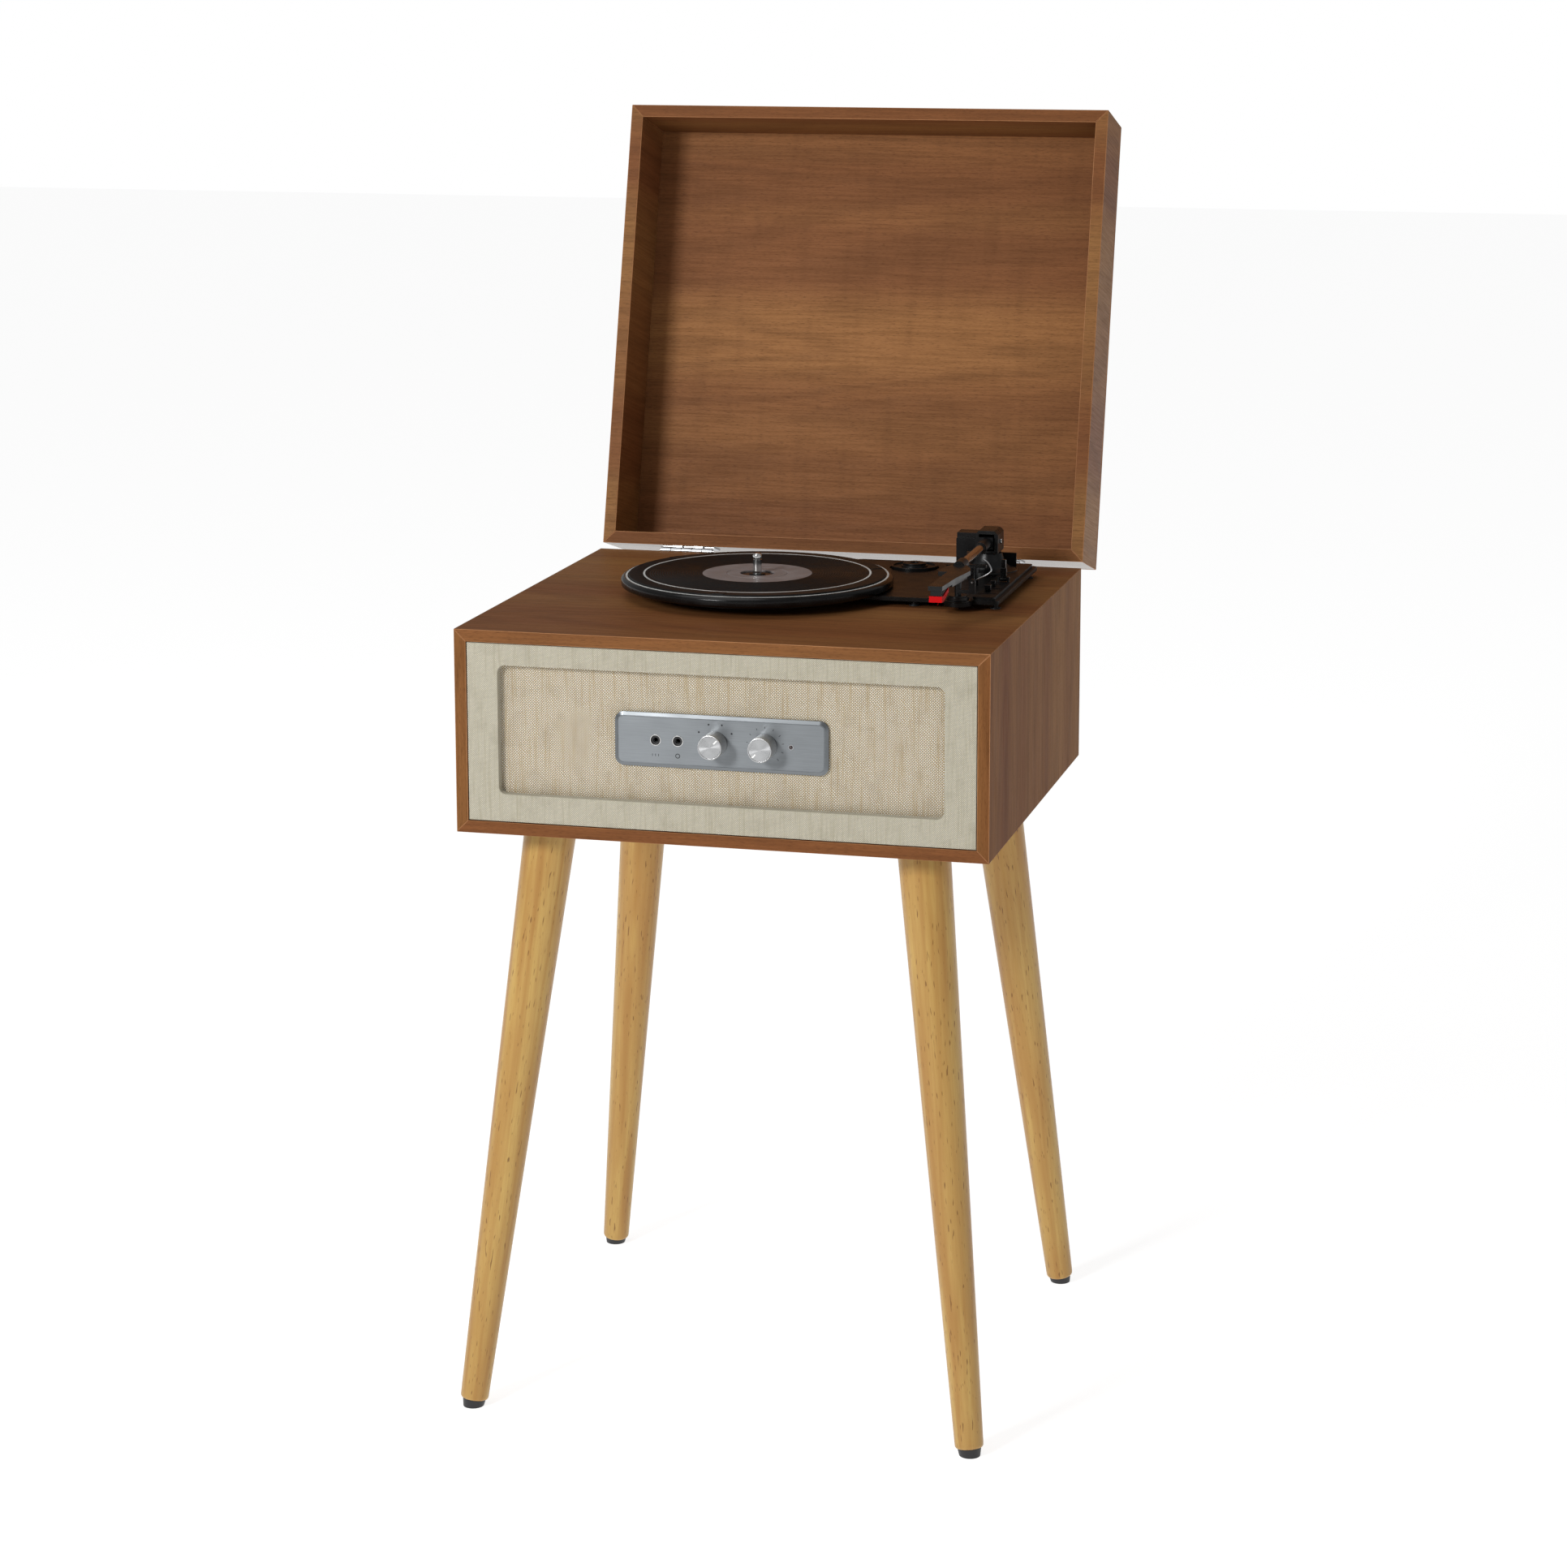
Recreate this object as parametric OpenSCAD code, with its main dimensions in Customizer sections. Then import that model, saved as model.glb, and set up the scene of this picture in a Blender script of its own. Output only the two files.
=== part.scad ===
// Record player console on four splayed legs: a veneered cabinet with a hinged lid,
// a belt-driven turntable on top and two loudspeakers behind a cloth grille.
// Millimetres. +Z is up, the grille faces -Y, and the origin is on the floor under
// the middle of the whole console with its lid open.

/* [Cabinet] */
// Width of the cabinet and of the lid
cab_w = 420; // [410:1:430]
// Depth of the cabinet and of the lid
cab_d = 384; // [380:1:390]
// Height of the cabinet box
cab_h = 160; // [158:1:165]
// Thickness of the veneered boards
board_t = 9.5; // [9:0.5:10]
// Thickness of the back panel
back_t = 5.5; // [4:0.5:6]

/* [Lid] */
// Outer height of the lid
lid_h = 70.5; // [68:0.5:80]
// Thickness of the lid rails
rail_t = 10.5; // [9:0.5:11]
// Thickness of the lid panel
lid_skin = 5; // [4:0.5:6]
// Gap between the closed lid and the cabinet
lid_gap = 0.6; // [0.5:0.1:1]
// Angle from closed to the hinge stop
lid_open = 105; // [95:1:108]

/* [Legs] */
// Height of the cabinet floor above the ground
leg_h = 465; // [440:1:480]
// Radius at the top of a leg
leg_r_top = 20.8; // [19:0.1:22]
// Radius at the bottom of a leg
leg_r_foot = 11.1; // [10:0.1:12]
// Sideways distance from the middle to the top of a leg
leg_top_x = 149; // [145:1:152]
// Distance from the cabinet front to the top of a front leg
leg_inset_front = 50; // [48:1:56]
// Distance from the cabinet back to the top of a back leg
leg_inset_back = 66; // [60:1:68]
// Sideways splay of each leg
splay_x = 52; // [45:1:55]
// Fore-and-aft splay of each leg
splay_y = 60; // [50:1:62]
// Height of the plastic glide under a leg
glide_h = 6; // [5:0.5:7]

/* [Grille and controls] */
// Width of the opening in the cloth-covered frame
grille_w = 350.6; // [340:0.1:352]
// Bottom of the opening above the cabinet underside
grille_low = 31.8; // [28:0.1:33]
// Top of the opening above the cabinet underside
grille_high = 133; // [130:0.1:136]
// Depth of the cloth behind the cabinet front
cloth_y = 8; // [7.5:0.1:8.5]
// Width of the control plate
plate_w = 168; // [160:1:170]
// Height of the control plate
plate_h = 42; // [40:1:44]
// Radius of the two knobs
knob_r = 9.5; // [9:0.1:10]
// Length of the two knobs
knob_l = 16.3; // [15:0.1:17]

/* [Turntable] */
// Radius of the platter
platter_r = 109.5; // [108.5:0.1:110]
// Radius of the record spindle's cap, for a 7.24 mm record hole
spindle_r = 3.58; // [3.5:0.01:3.6]
// Radius of the belt rim under the platter
belt_rim_r = 78; // [76:0.5:79]
// Radius of the motor pulley
pulley_r = 5.2; // [5:0.1:5.4]
// Radius of the tonearm tube
tube_r = 3.4; // [3:0.1:3.5]
// Distance from the tonearm pivot to the stylus tip
arm_reach = 216; // [214:1:217]

/* [Hidden] */

$fn = 64;
cut = 1;                  // how far a cutting solid runs past the face it opens

// cabinet, measured from the cabinet's front face until placed() moves it
top_z = leg_h + cab_h;    // surface that the turntable stands on
in_x = cab_w / 2 - board_t;
mid_z = leg_h + cab_h / 2;

// hinges
hinge_y = cab_d + 4.5;
hinge_x = 134;            // middle of each hinge
hinge_w = 46;
leaf_t = 1.3;
leaf_h = 24;
knuckle_r = 2.8;
hinge_pin_r = 1.2;

// controls
plate_x = 1;
plate_y = 5;              // front face of the control plate
plate_z = leg_h + 80;
jack_xs = [-50.6, -33];
jack_r = 3.8;
jack_bore_r = 1.8;
jack_bore_l = 14;
mode_x = -3.3;
volume_x = 35.7;
led_x = 56;
shaft_r = 3;
speaker_x = 125;
speaker_z = leg_h + 80;
speaker_hole_r = 33;

// legs: the axis of a leg runs from the ground point to the cabinet floor
leg_plate_t = 2;
splay = norm([splay_x, splay_y]);
lean = atan(splay / leg_h);
leg_turn = atan2(splay_y, splay_x);
bolt_r = 4;

// turntable heights above the cabinet top
deck_low = 5;
deck_top = 8.3;
strip_top = 10.6;
rim_low = 9;
platter_top = 16.8;
mat_top = 18.2;
platter_x = -21;
platter_y = 198;
pulley_turn = 35;         // direction of the motor seen from the spindle
pulley_d = 92;
motor_x = platter_x + pulley_d * cos(pulley_turn);
motor_y = platter_y + pulley_d * sin(pulley_turn);
bearing_r = 3.05;
spindle_shaft_r = 3;

// deck plate outline
deck_x0 = 30;
deck_x1 = 181.5;
deck_y0 = 171;
deck_y1 = 338;
strip_x0 = 160;
strip_x1 = 178;

// tonearm
arm_x = 147.5;
arm_y = 302;
arm_z = 34;               // pivot height above the cabinet top
arm_turn = 1;             // the parked arm points slightly outwards
arm_post_r = 4;
arm_base_r = 24;
pivot_r = 1.5;
rest_x = 150.5;
rest_y = 165;
clip_x = rest_x + 11.6;
clip_z = 24;
cue_x = 171;
cue_y = 246;
cue_z = 12.8;
cue_lug = 3.9;            // sideways distance from the lever to each of its lugs
cue_pin_r = 1.2;
cue_bar = 64;             // distance from the arm's pivot to the lift bar
lift_r = 2.2;
adapter_x = 84;
adapter_y = 308;
adapter_r = 19;

// extents of the whole console, which put the origin under its middle
function lid_y(y, z) = hinge_y + (y - hinge_y) * cos(lid_open) + (z - top_z) * sin(lid_open);
far_y = lid_y(0, top_z + lid_gap + lid_h);
foot_s = glide_h / cos(lean) + 2;
near_y = leg_inset_front - splay_y + foot_s * sin(lean) * sin(leg_turn)
    - leg_r_foot * sqrt(1 - pow(sin(lean) * sin(leg_turn), 2));
origin_y = (near_y + far_y) / 2;

module placed() translate([0, -origin_y, 0]) children();
module on_deck(x, y, z = 0) placed() translate([x, y, top_z + z]) children();

// ---- shared shapes ----

// a flat plate with rounded corners, lying on z = 0 and centred
module rounded_rect(w, h, r) {
    square([w - 2 * r, h], center = true);
    square([w, h - 2 * r], center = true);
    for (x = [-1, 1], y = [-1, 1])
        translate([x * (w / 2 - r), y * (h / 2 - r)]) circle(r);
}

// stands an outline up to face the front: its Z runs backwards from y
module facing_front(x, y, z) translate([x, y, z]) rotate([-90, 0, 0]) mirror([0, 1, 0]) children();

// ---- cabinet ----

module mitred_outline(length, thick)
    polygon([[-length / 2, 0], [length / 2, 0],
             [length / 2 - thick, thick], [thick - length / 2, thick]]);

// boards of the cabinet, extruded from front to back
module cabinet_board(length, turn, x, z)
    placed() translate([x, cab_d, z]) rotate([0, turn, 0]) rotate([90, 0, 0])
        linear_extrude(cab_d) mitred_outline(length, board_t);

module top_panel() color("#6e4128") difference() {
    cabinet_board(cab_w, 180, 0, top_z);
    on_deck(platter_x, platter_y, -board_t - cut) cylinder(h = board_t + 2 * cut, r = 12);
    on_deck(motor_x, motor_y, -board_t - cut) cylinder(h = board_t + 2 * cut, r = 21);
    on_deck(arm_x - 20, arm_y - 40, -board_t - cut) cylinder(h = board_t + 2 * cut, r = 8);
}

module bottom_panel() color("#7f4e33") difference() {
    cabinet_board(cab_w, 0, 0, leg_h);
    leg_tops() translate([0, 0, -cut]) cylinder(h = board_t + 2 * cut, r = bolt_r + 0.2);
}

module left_panel() color("#7a5645") cabinet_board(cab_h, 90, -cab_w / 2, mid_z);
module right_panel() color("#7a5645") cabinet_board(cab_h, -90, cab_w / 2, mid_z);

back_screw_xs = [-190, -64, 64, 190];
back_screw_r = 1.5;

module back_screw_places() for (x = back_screw_xs, z = [leg_h + 20, top_z - 36])
    placed() translate([x, cab_d, z]) rotate([90, 0, 0]) children();

module back_panel() color("#3a2a20") difference() {
    placed() translate([-in_x, cab_d - back_t, leg_h + board_t])
        cube([2 * in_x, back_t, cab_h - 2 * board_t]);
    back_screw_places() translate([0, 0, -cut]) cylinder(h = back_t + 2 * cut, r = back_screw_r + 0.1);
    socket_cutouts();
}

module back_screws() color("#2a2a2c") back_screw_places() {
    translate([0, 0, -1.4]) cylinder(h = 1.4, r = 3.2);
    cylinder(h = 12, r = back_screw_r);
}

// ---- rear sockets ----

rca_x = 60;
rca_z = leg_h + 50;
rca_step = 16;
dc_x = 120;
dc_r = 4;
dc_bore_r = 2.8;

module socket_cutouts() {
    facing_back(rca_x, rca_z, back_t + cut) cube([40, 18, back_t * 3], center = true);
    facing_back(dc_x, rca_z, -cut) cylinder(h = back_t + 2 * cut, r = dc_r + 0.1);
}

// Z runs forwards from the back face, starting in front of it by "inside"
module facing_back(x, z, inside = 0)
    placed() translate([x, cab_d - inside, z]) rotate([90, 0, 0]) children();

module rca_outputs() color("#1c1c1e") {
    facing_back(rca_x, rca_z, -1.5) linear_extrude(1.5) rounded_rect(48, 26, 3);
    for (side = [-1, 1]) facing_back(rca_x + side * rca_step / 2, rca_z, -8.5) {
        difference() {
            cylinder(h = 20, r = 4.1);
            translate([0, 0, -cut]) cylinder(h = 8 + cut, r = 1.6);
        }
    }
}

module dc_inlet() color("#151517") facing_back(dc_x, rca_z, -1.2) difference() {
    union() {
        cylinder(h = 1.2, r = 6);
        cylinder(h = 16, r = dc_r);
    }
    translate([0, 0, -cut]) cylinder(h = 10 + cut, r = dc_bore_r);
}

// ---- front ----

frame_y = 0.6;
cloth_t = 1.2;
baffle_t = 9;
window_x0 = -59.6;        // room behind the control plate
window_x1 = 59.6;
window_h = 26;

// boards behind the cloth: one with each loudspeaker's hole, and three that leave
// room between them for what is fixed behind the control plate
module speaker_baffle() color("#2b2018") {
    for (side = [-1, 1]) difference() {
        baffle_board(side > 0 ? window_x1 : -in_x, side > 0 ? in_x : window_x0, leg_h + board_t,
            top_z - board_t);
        facing_front_at(side * speaker_x, cloth_y, speaker_z) cylinder(h = 20, r = speaker_hole_r);
    }
    baffle_board(window_x0 + 0.2, window_x1 - 0.2, leg_h + board_t, plate_z - window_h / 2);
    baffle_board(window_x0 + 0.2, window_x1 - 0.2, plate_z + window_h / 2, top_z - board_t);
    baffle_board(-24, -16, plate_z - window_h / 2 + 0.2, plate_z + window_h / 2 - 0.2);
}

module baffle_board(x0, x1, z0, z1)
    placed() translate([x0, cloth_y + cloth_t, z0]) cube([x1 - x0, baffle_t, z1 - z0]);

// holes in the cloth for what is fixed behind the control plate
module control_window(deep) facing_front_at(0, cloth_y - cut, plate_z) linear_extrude(deep) {
    translate([(jack_xs[0] + jack_xs[1]) / 2, 0]) rounded_rect(36, 18, 2);
    translate([(mode_x + volume_x) / 2, 0]) rounded_rect(64, 26, 2);
    translate([led_x, 0]) circle(3.2);
}

module facing_front_at(x, y, z) placed() facing_front(x, y, z) children();

module grille_frame() color("#cfc8ae") facing_front_at(0, frame_y, 0)
    linear_extrude(cloth_y - frame_y) difference() {
        translate([0, mid_z]) square([2 * in_x - 1.2, cab_h - 2 * board_t - 1.2], center = true);
        translate([0, leg_h + (grille_low + grille_high) / 2])
            rounded_rect(grille_w, grille_high - grille_low, 6);
    }

module grille_cloth() color("#c9ab7e") difference() {
    placed() translate([-in_x + 1, cloth_y, leg_h + board_t + 1])
        cube([2 * in_x - 2, cloth_t, cab_h - 2 * board_t - 2]);
    control_window(30);
}

module control_plate() color("#a9adb0") difference() {
    union() {
        facing_front_at(plate_x, plate_y + 1.2, plate_z)
            linear_extrude(cloth_y - plate_y - 1.2) rounded_rect(plate_w, plate_h, 5);
        facing_front_at(plate_x, plate_y, plate_z)
            linear_extrude(1.2) rounded_rect(plate_w - 5, plate_h - 5, 4);
    }
    for (x = jack_xs) plate_hole(x, jack_r);
    for (x = [mode_x, volume_x]) plate_hole(x, shaft_r + 0.6);
    plate_hole(led_x, 1.6);
}

module plate_hole(x, r) facing_front_at(x, plate_y - cut, plate_z) cylinder(h = 3 + 2 * cut, r = r);

module audio_jacks() color("#141416") for (x = jack_xs) facing_front_at(x, plate_y - 0.5, plate_z)
    difference() {
        union() {
            cylinder(h = 12, r = jack_r);
            translate([-6, -6, 12]) cube([12, 12, 9]);
        }
        translate([0, 0, -cut]) cylinder(h = jack_bore_l + cut, r = jack_bore_r);
    }

module power_led() color("#3a1512") facing_front_at(led_x, plate_y - 0.6, plate_z) {
    cylinder(h = 12, r = 1.6);
    translate([0, 0, 3.6]) cylinder(h = 2, r = 2.4);
}

// body of a rotary control, with a threaded bush that holds the shaft
module rotary_control(x, body) facing_front_at(x, cloth_y, plate_z) difference() {
    union() {
        cylinder(h = 14, r = 5);
        translate([-body / 2, -body / 2, 12]) cube([body, body, 11]);
    }
    translate([0, 0, -cut]) cylinder(h = 19 + cut, r = shaft_r + 0.05);
}

module source_switch() color("#8d8f92") rotary_control(mode_x, 20);
module volume_control() color("#7d8083") rotary_control(volume_x, 17);

// a knob with its shaft; the groove is the pointer
module knob(x, pointer) facing_front_at(x, plate_y - 0.7 - knob_l, plate_z) {
    difference() {
        cylinder(h = knob_l, r = knob_r);
        rotate([0, 0, pointer]) translate([-0.7, knob_r - 4.6, -cut]) cube([1.4, 3.8, cut + 0.4]);
    }
    translate([0, 0, knob_l]) cylinder(h = 20, r = shaft_r);
}

module mode_knob() color("#b9bcbf") knob(mode_x, -45);
module volume_knob() color("#b9bcbf") knob(volume_x, 135);

module amplifier_board() color("#1f5a34") {
    board_y = cloth_y + 25;
    placed() translate([-62, board_y, plate_z - 24]) cube([130, 1.6, 48]);
    placed() translate([-40, board_y + 1.6, plate_z - 16]) cube([34, 14, 20]);
    for (x = [8, 24, 40]) facing_front_at(x, board_y + 1.6, plate_z - 6) cylinder(h = 16, r = 6);
    for (x = [-54, 54], z = [-20, 20])
        facing_front_at(x, baffle_back, plate_z + z) cylinder(h = board_y - baffle_back, r = 3);
}

// ---- loudspeakers ----

baffle_back = cloth_y + cloth_t + baffle_t;

module speaker_places() for (side = [-1, 1])
    facing_front_at(side * speaker_x, baffle_back, speaker_z) children();

module speaker_frames() color("#26262a") speaker_places() {
    difference() {
        cylinder(h = 20, r1 = 39, r2 = 24);
        translate([0, 0, -cut]) cylinder(h = 19 + cut, r1 = 35, r2 = 21);
    }
    translate([0, 0, 20]) cylinder(h = 14, r = 25);
}

module speaker_cones() color("#1a1a1a") speaker_places() difference() {
    cylinder(h = 15, r1 = 34.1, r2 = 12);
    translate([0, 0, -cut]) cylinder(h = 14, r1 = 34.1, r2 = 12);
}

// ---- legs ----

// puts its children at the top of each leg, on the cabinet floor's underside
module leg_tops() for (leg = leg_list) placed()
    translate([leg[0] * leg_top_x, leg_top_y(leg), leg_h]) children();

leg_list = [[-1, -1], [1, -1], [-1, 1], [1, 1]];
function leg_top_y(leg) = leg[1] < 0 ? leg_inset_front : cab_d - leg_inset_back;

// puts its children on the ground under a leg, with Z along the leg's axis
module along_leg(leg) placed()
    translate([leg[0] * (leg_top_x + splay_x), leg_top_y(leg) + leg[1] * splay_y, 0])
        rotate([0, 0, atan2(-leg[1] * splay_y, -leg[0] * splay_x)]) rotate([0, lean, 0]) children();

leg_l = norm([splay_x, splay_y, leg_h]);
leg_start = glide_h / cos(lean);

module leg(leg) color("#c9a56b") difference() {
    along_leg(leg) {
        translate([0, 0, leg_start]) cylinder(h = 2, r1 = leg_r_foot - 1.6, r2 = leg_r_foot);
        translate([0, 0, leg_start + 2])
            cylinder(h = leg_l - leg_start + 6, r1 = leg_r_foot, r2 = leg_r_top);
    }
    leg_top_cut(leg) translate([-60, -60, -leg_plate_t]) cube([120, 120, 40]);
    leg_top_cut(leg) translate([0, 0, -30]) cylinder(h = 40, r = bolt_r + 0.1);
}

module leg_top_cut(leg) placed()
    translate([leg[0] * leg_top_x, leg_top_y(leg), leg_h]) children();

module leg_front_left() leg(leg_list[0]);
module leg_front_right() leg(leg_list[1]);
module leg_back_left() leg(leg_list[2]);
module leg_back_right() leg(leg_list[3]);

module leg_plates() color("#3b3b3e") leg_tops() translate([0, 0, -leg_plate_t])
    linear_extrude(leg_plate_t) difference() {
        rounded_rect(58, 58, 6);
        circle(bolt_r + 0.1);
        for (x = [-1, 1], y = [-1, 1]) translate([x * 23, y * 23]) circle(2.2);
    }

// hanger bolts: one end in the leg, the other through the cabinet floor into a nut
module leg_bolts() color("#8f9296") leg_tops() {
    translate([0, 0, -29]) cylinder(h = 29 + board_t + 9, r = bolt_r);
    translate([0, 0, board_t]) cylinder(h = 6.5, r = 7.5, $fn = 6);
}

module foot_glides() color("#17171a") for (leg = leg_list) intersection() {
    along_leg(leg) translate([0, 0, -4]) cylinder(h = leg_start + 4, r1 = 7.4, r2 = 9.3);
    placed() translate([-300, -100, 0]) cube([600, 700, 60]);
}

// ---- hinges ----

// children are placed once at each hinge; Z is up and the back face is y = cab_d
module at_hinges() for (side = [-1, 1]) placed() translate([side * hinge_x, 0, 0]) children();

// turns the closed lid to where it stands open on the hinge stop
module opened() placed() translate([0, hinge_y, top_z]) rotate([-lid_open, 0, 0])
    translate([0, -hinge_y, -top_z]) children();

knuckle_w = hinge_w / 5;

// one knuckle, with the web that joins it to its leaf on the side given by "up"
module knuckle(index, up) translate([-hinge_w / 2 + index * knuckle_w + 0.15, 0, 0]) {
    difference() {
        union() {
            translate([0, hinge_y, top_z]) rotate([0, 90, 0])
                cylinder(h = knuckle_w - 0.3, r = knuckle_r);
            translate([0, cab_d, top_z + (up > 0 ? 1.1 : -4)]) cube([knuckle_w - 0.3, 4.2, 2.9]);
        }
        translate([-cut, hinge_y, top_z]) rotate([0, 90, 0])
            cylinder(h = knuckle_w + 2 * cut, r = hinge_pin_r + 0.05);
    }
}

module leaf(z) translate([-hinge_w / 2, cab_d, z]) cube([hinge_w, leaf_t, leaf_h - 4]);

module cabinet_hinge_leaves() color("#b7b9bb") at_hinges() {
    leaf(top_z - leaf_h);
    for (index = [0, 2, 4]) knuckle(index, -1);
}

module lid_hinge_leaves() color("#b7b9bb") opened() for (side = [-1, 1])
    translate([side * hinge_x, 0, 0]) {
        leaf(top_z + 4);
        for (index = [1, 3]) knuckle(index, 1);
    }

module hinge_pins() color("#9a9c9e") at_hinges() translate([-hinge_w / 2 - 1, hinge_y, top_z])
    rotate([0, 90, 0]) cylinder(h = hinge_w + 2, r = hinge_pin_r);

// ---- lid, drawn closed and then opened ----

rim_z = top_z + lid_gap;
rail_h = lid_h - lid_skin;

module lid_rail(length, turn, x, y) opened() translate([x, y, rim_z]) rotate([0, 0, turn])
    linear_extrude(rail_h) mitred_outline(length, rail_t);

module lid_front_rail() color("#9a6b42") lid_rail(cab_w, 0, 0, 0);
module lid_back_rail() color("#9a6b42") lid_rail(cab_w, 180, 0, cab_d);
module lid_left_rail() color("#8a5a3a") lid_rail(cab_d, -90, -cab_w / 2, cab_d / 2);
module lid_right_rail() color("#8a5a3a") lid_rail(cab_d, 90, cab_w / 2, cab_d / 2);
module lid_panel() color("#9a6b42") opened() translate([-cab_w / 2, 0, rim_z + rail_h])
    cube([cab_w, cab_d, lid_skin]);

// ---- turntable deck ----

module deck_outline() {
    translate([(deck_x0 + deck_x1) / 2, (deck_y0 + deck_y1) / 2])
        rounded_rect(deck_x1 - deck_x0, deck_y1 - deck_y0, 4);
    translate([platter_x, platter_y]) circle(92, $fn = 96);
    translate([rest_x, rest_y]) circle(11);
}

module deck_plate() color("#1b1a1c") difference() {
    union() {
        on_deck(0, 0, deck_low) linear_extrude(deck_top - deck_low) deck_outline();
        on_deck(0, 0, deck_top) linear_extrude(strip_top - deck_top) difference() {
            translate([(strip_x0 + strip_x1) / 2, (deck_y0 + deck_y1) / 2])
                rounded_rect(strip_x1 - strip_x0, deck_y1 - deck_y0 - 6, 3);
            translate([arm_x, arm_y]) circle(arm_base_r + 0.2);
        }
        for (side = [-1, 1]) on_deck(cue_x + side * cue_lug, cue_y, strip_top)
            translate([-0.8, -2.2, 0]) cube([1.6, 4.4, cue_z - strip_top + 2]);
        on_deck(111, 320, deck_top) cylinder(h = 1.6, r = 2.6);
    }
    on_deck(cue_x - 8, cue_y, cue_z) rotate([0, 90, 0]) cylinder(h = 16, r = cue_pin_r + 0.05);
    on_deck(arm_x + 2, arm_y - cue_bar) cylinder(h = 20, r = lift_r + 0.05);
    on_deck(platter_x, platter_y) cylinder(h = 20, r = 8.1);
    on_deck(motor_x, motor_y) cylinder(h = 20, r = 3);
    on_deck(adapter_x, adapter_y, deck_top - 1.5) cylinder(h = 4, r = adapter_r + 1.5);
    on_deck(adapter_x, adapter_y) cylinder(h = 20, r = 3);
    on_deck(arm_x, arm_y) cylinder(h = 9, r = 6.1);
    for (y = switch_ys) on_deck(switch_x, y) translate([-1.4, -7, 0]) cube([2.8, 14, 20]);
}

deck_feet_places = [[177, 183], [112, 181], [176, 326], [46, 326]];

module deck_feet() color("#111113") for (foot = deck_feet_places) on_deck(foot[0], foot[1]) {
    cylinder(h = 1.2, r = 4.2);
    cylinder(h = deck_low, r = 2.2);
}

module spindle_bearing() color("#a88e57") on_deck(platter_x, platter_y, -20) difference() {
    union() {
        cylinder(h = 20 + deck_top, r = 8);
        translate([0, 0, 20 + deck_low - 2.2]) cylinder(h = 2.2, r = 11);
    }
    translate([0, 0, 3]) cylinder(h = 40, r = bearing_r);
}

module motor() color("#8b8d90") on_deck(motor_x, motor_y, deck_low - 27) difference() {
    cylinder(h = 27, r = 19);
    translate([0, 0, 4]) cylinder(h = 30, r = 1.05);
}

module motor_pulley() color("#c2a35c") on_deck(motor_x, motor_y) {
    translate([0, 0, deck_top + 0.5]) cylinder(h = 3.8, r = pulley_r);
    translate([0, 0, deck_low - 20]) cylinder(h = 24, r = 1);
}

// outline round the belt rim and the pulley, grown by "out"
module belt_outline(out) {
    big = belt_rim_r + out;
    small = pulley_r + out;
    a = acos((big - small) / pulley_d);
    circle(big, $fn = 96);
    translate([pulley_d, 0]) circle(small);
    polygon([[big * cos(a), big * sin(a)], [pulley_d + small * cos(a), small * sin(a)],
             [pulley_d + small * cos(a), -small * sin(a)], [big * cos(a), -big * sin(a)]]);
}

module drive_belt() color("#0e0e0f") on_deck(platter_x, platter_y, 9.9) rotate([0, 0, pulley_turn])
    linear_extrude(2.2) difference() {
        belt_outline(1.1);
        belt_outline(0.3);
    }

// ---- platter ----

module platter() color("#161618") on_deck(platter_x, platter_y) rotate_extrude($fn = 128)
    polygon([[spindle_shaft_r, 13.2], [spindle_shaft_r, platter_top], [106.9, platter_top],
             [107.6, platter_top - 0.2], [platter_r, 14.6], [platter_r, 10.2],
             [platter_r - 1.2, rim_low], [106.2, rim_low], [106.2, 13.2],
             [belt_rim_r, 13.2], [belt_rim_r, 9.4], [belt_rim_r - 2.5, 9.4],
             [belt_rim_r - 2.5, 13.2]]);

mat_r = 103.6;
label_r = 44.2;
label_hole_r = 13.7;

module platter_mat() color("#101011") on_deck(platter_x, platter_y) {
    rotate_extrude($fn = 128) polygon([[label_r, platter_top], [label_r, mat_top],
        [mat_r - 0.6, mat_top], [mat_r, mat_top - 0.5], [mat_r, platter_top]]);
    for (a = [27, 147, 267]) rotate([0, 0, a]) translate([93, -5.5, platter_top])
        cube([9.5, 11, mat_top - platter_top + 0.4]);
}

module mat_label() color("#8f8b88") on_deck(platter_x, platter_y, platter_top)
    rotate_extrude($fn = 96) polygon([[label_hole_r, 0], [label_hole_r, 1.2], [23.9, 1.2],
        [24.3, 0.8], [24.7, 1.2], [label_r - 0.1, 1.2], [label_r - 0.1, 0]]);

spindle_top = 34.4;

module spindle() color("#d4d4d2") on_deck(platter_x, platter_y) {
    translate([0, 0, -15]) cylinder(h = 15 + platter_top, r = spindle_shaft_r);
    translate([0, 0, platter_top]) cylinder(h = spindle_top - platter_top - 5.2, r = spindle_r);
    translate([0, 0, spindle_top - 5.2]) cylinder(h = 1.2, r = spindle_r - 0.5);
    translate([0, 0, spindle_top - 4]) cylinder(h = 2, r = spindle_r);
    translate([0, 0, spindle_top - 2]) cylinder(h = 2, r1 = spindle_r, r2 = spindle_r - 1.8);
}

// ---- tonearm base and rest, fixed to the deck ----

module arm_base() color("#18181a") on_deck(arm_x, arm_y) {
    rotate_extrude() polygon([[arm_post_r + 0.05, 6], [arm_post_r + 0.05, 24.6], [11, 24.6],
        [11.8, 22.5], [13.1, 18.5], [15.6, 14.6], [18.4, 12.4], [22.8, 11], [arm_base_r, 9.8],
        [arm_base_r, deck_top], [6, deck_top], [6, 6]]);
    translate([4, 20, deck_top]) cube([8, 2.2, 3]);
    translate([4, 20, strip_top]) cube([15, 2.2, 10.7]);
}

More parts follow.
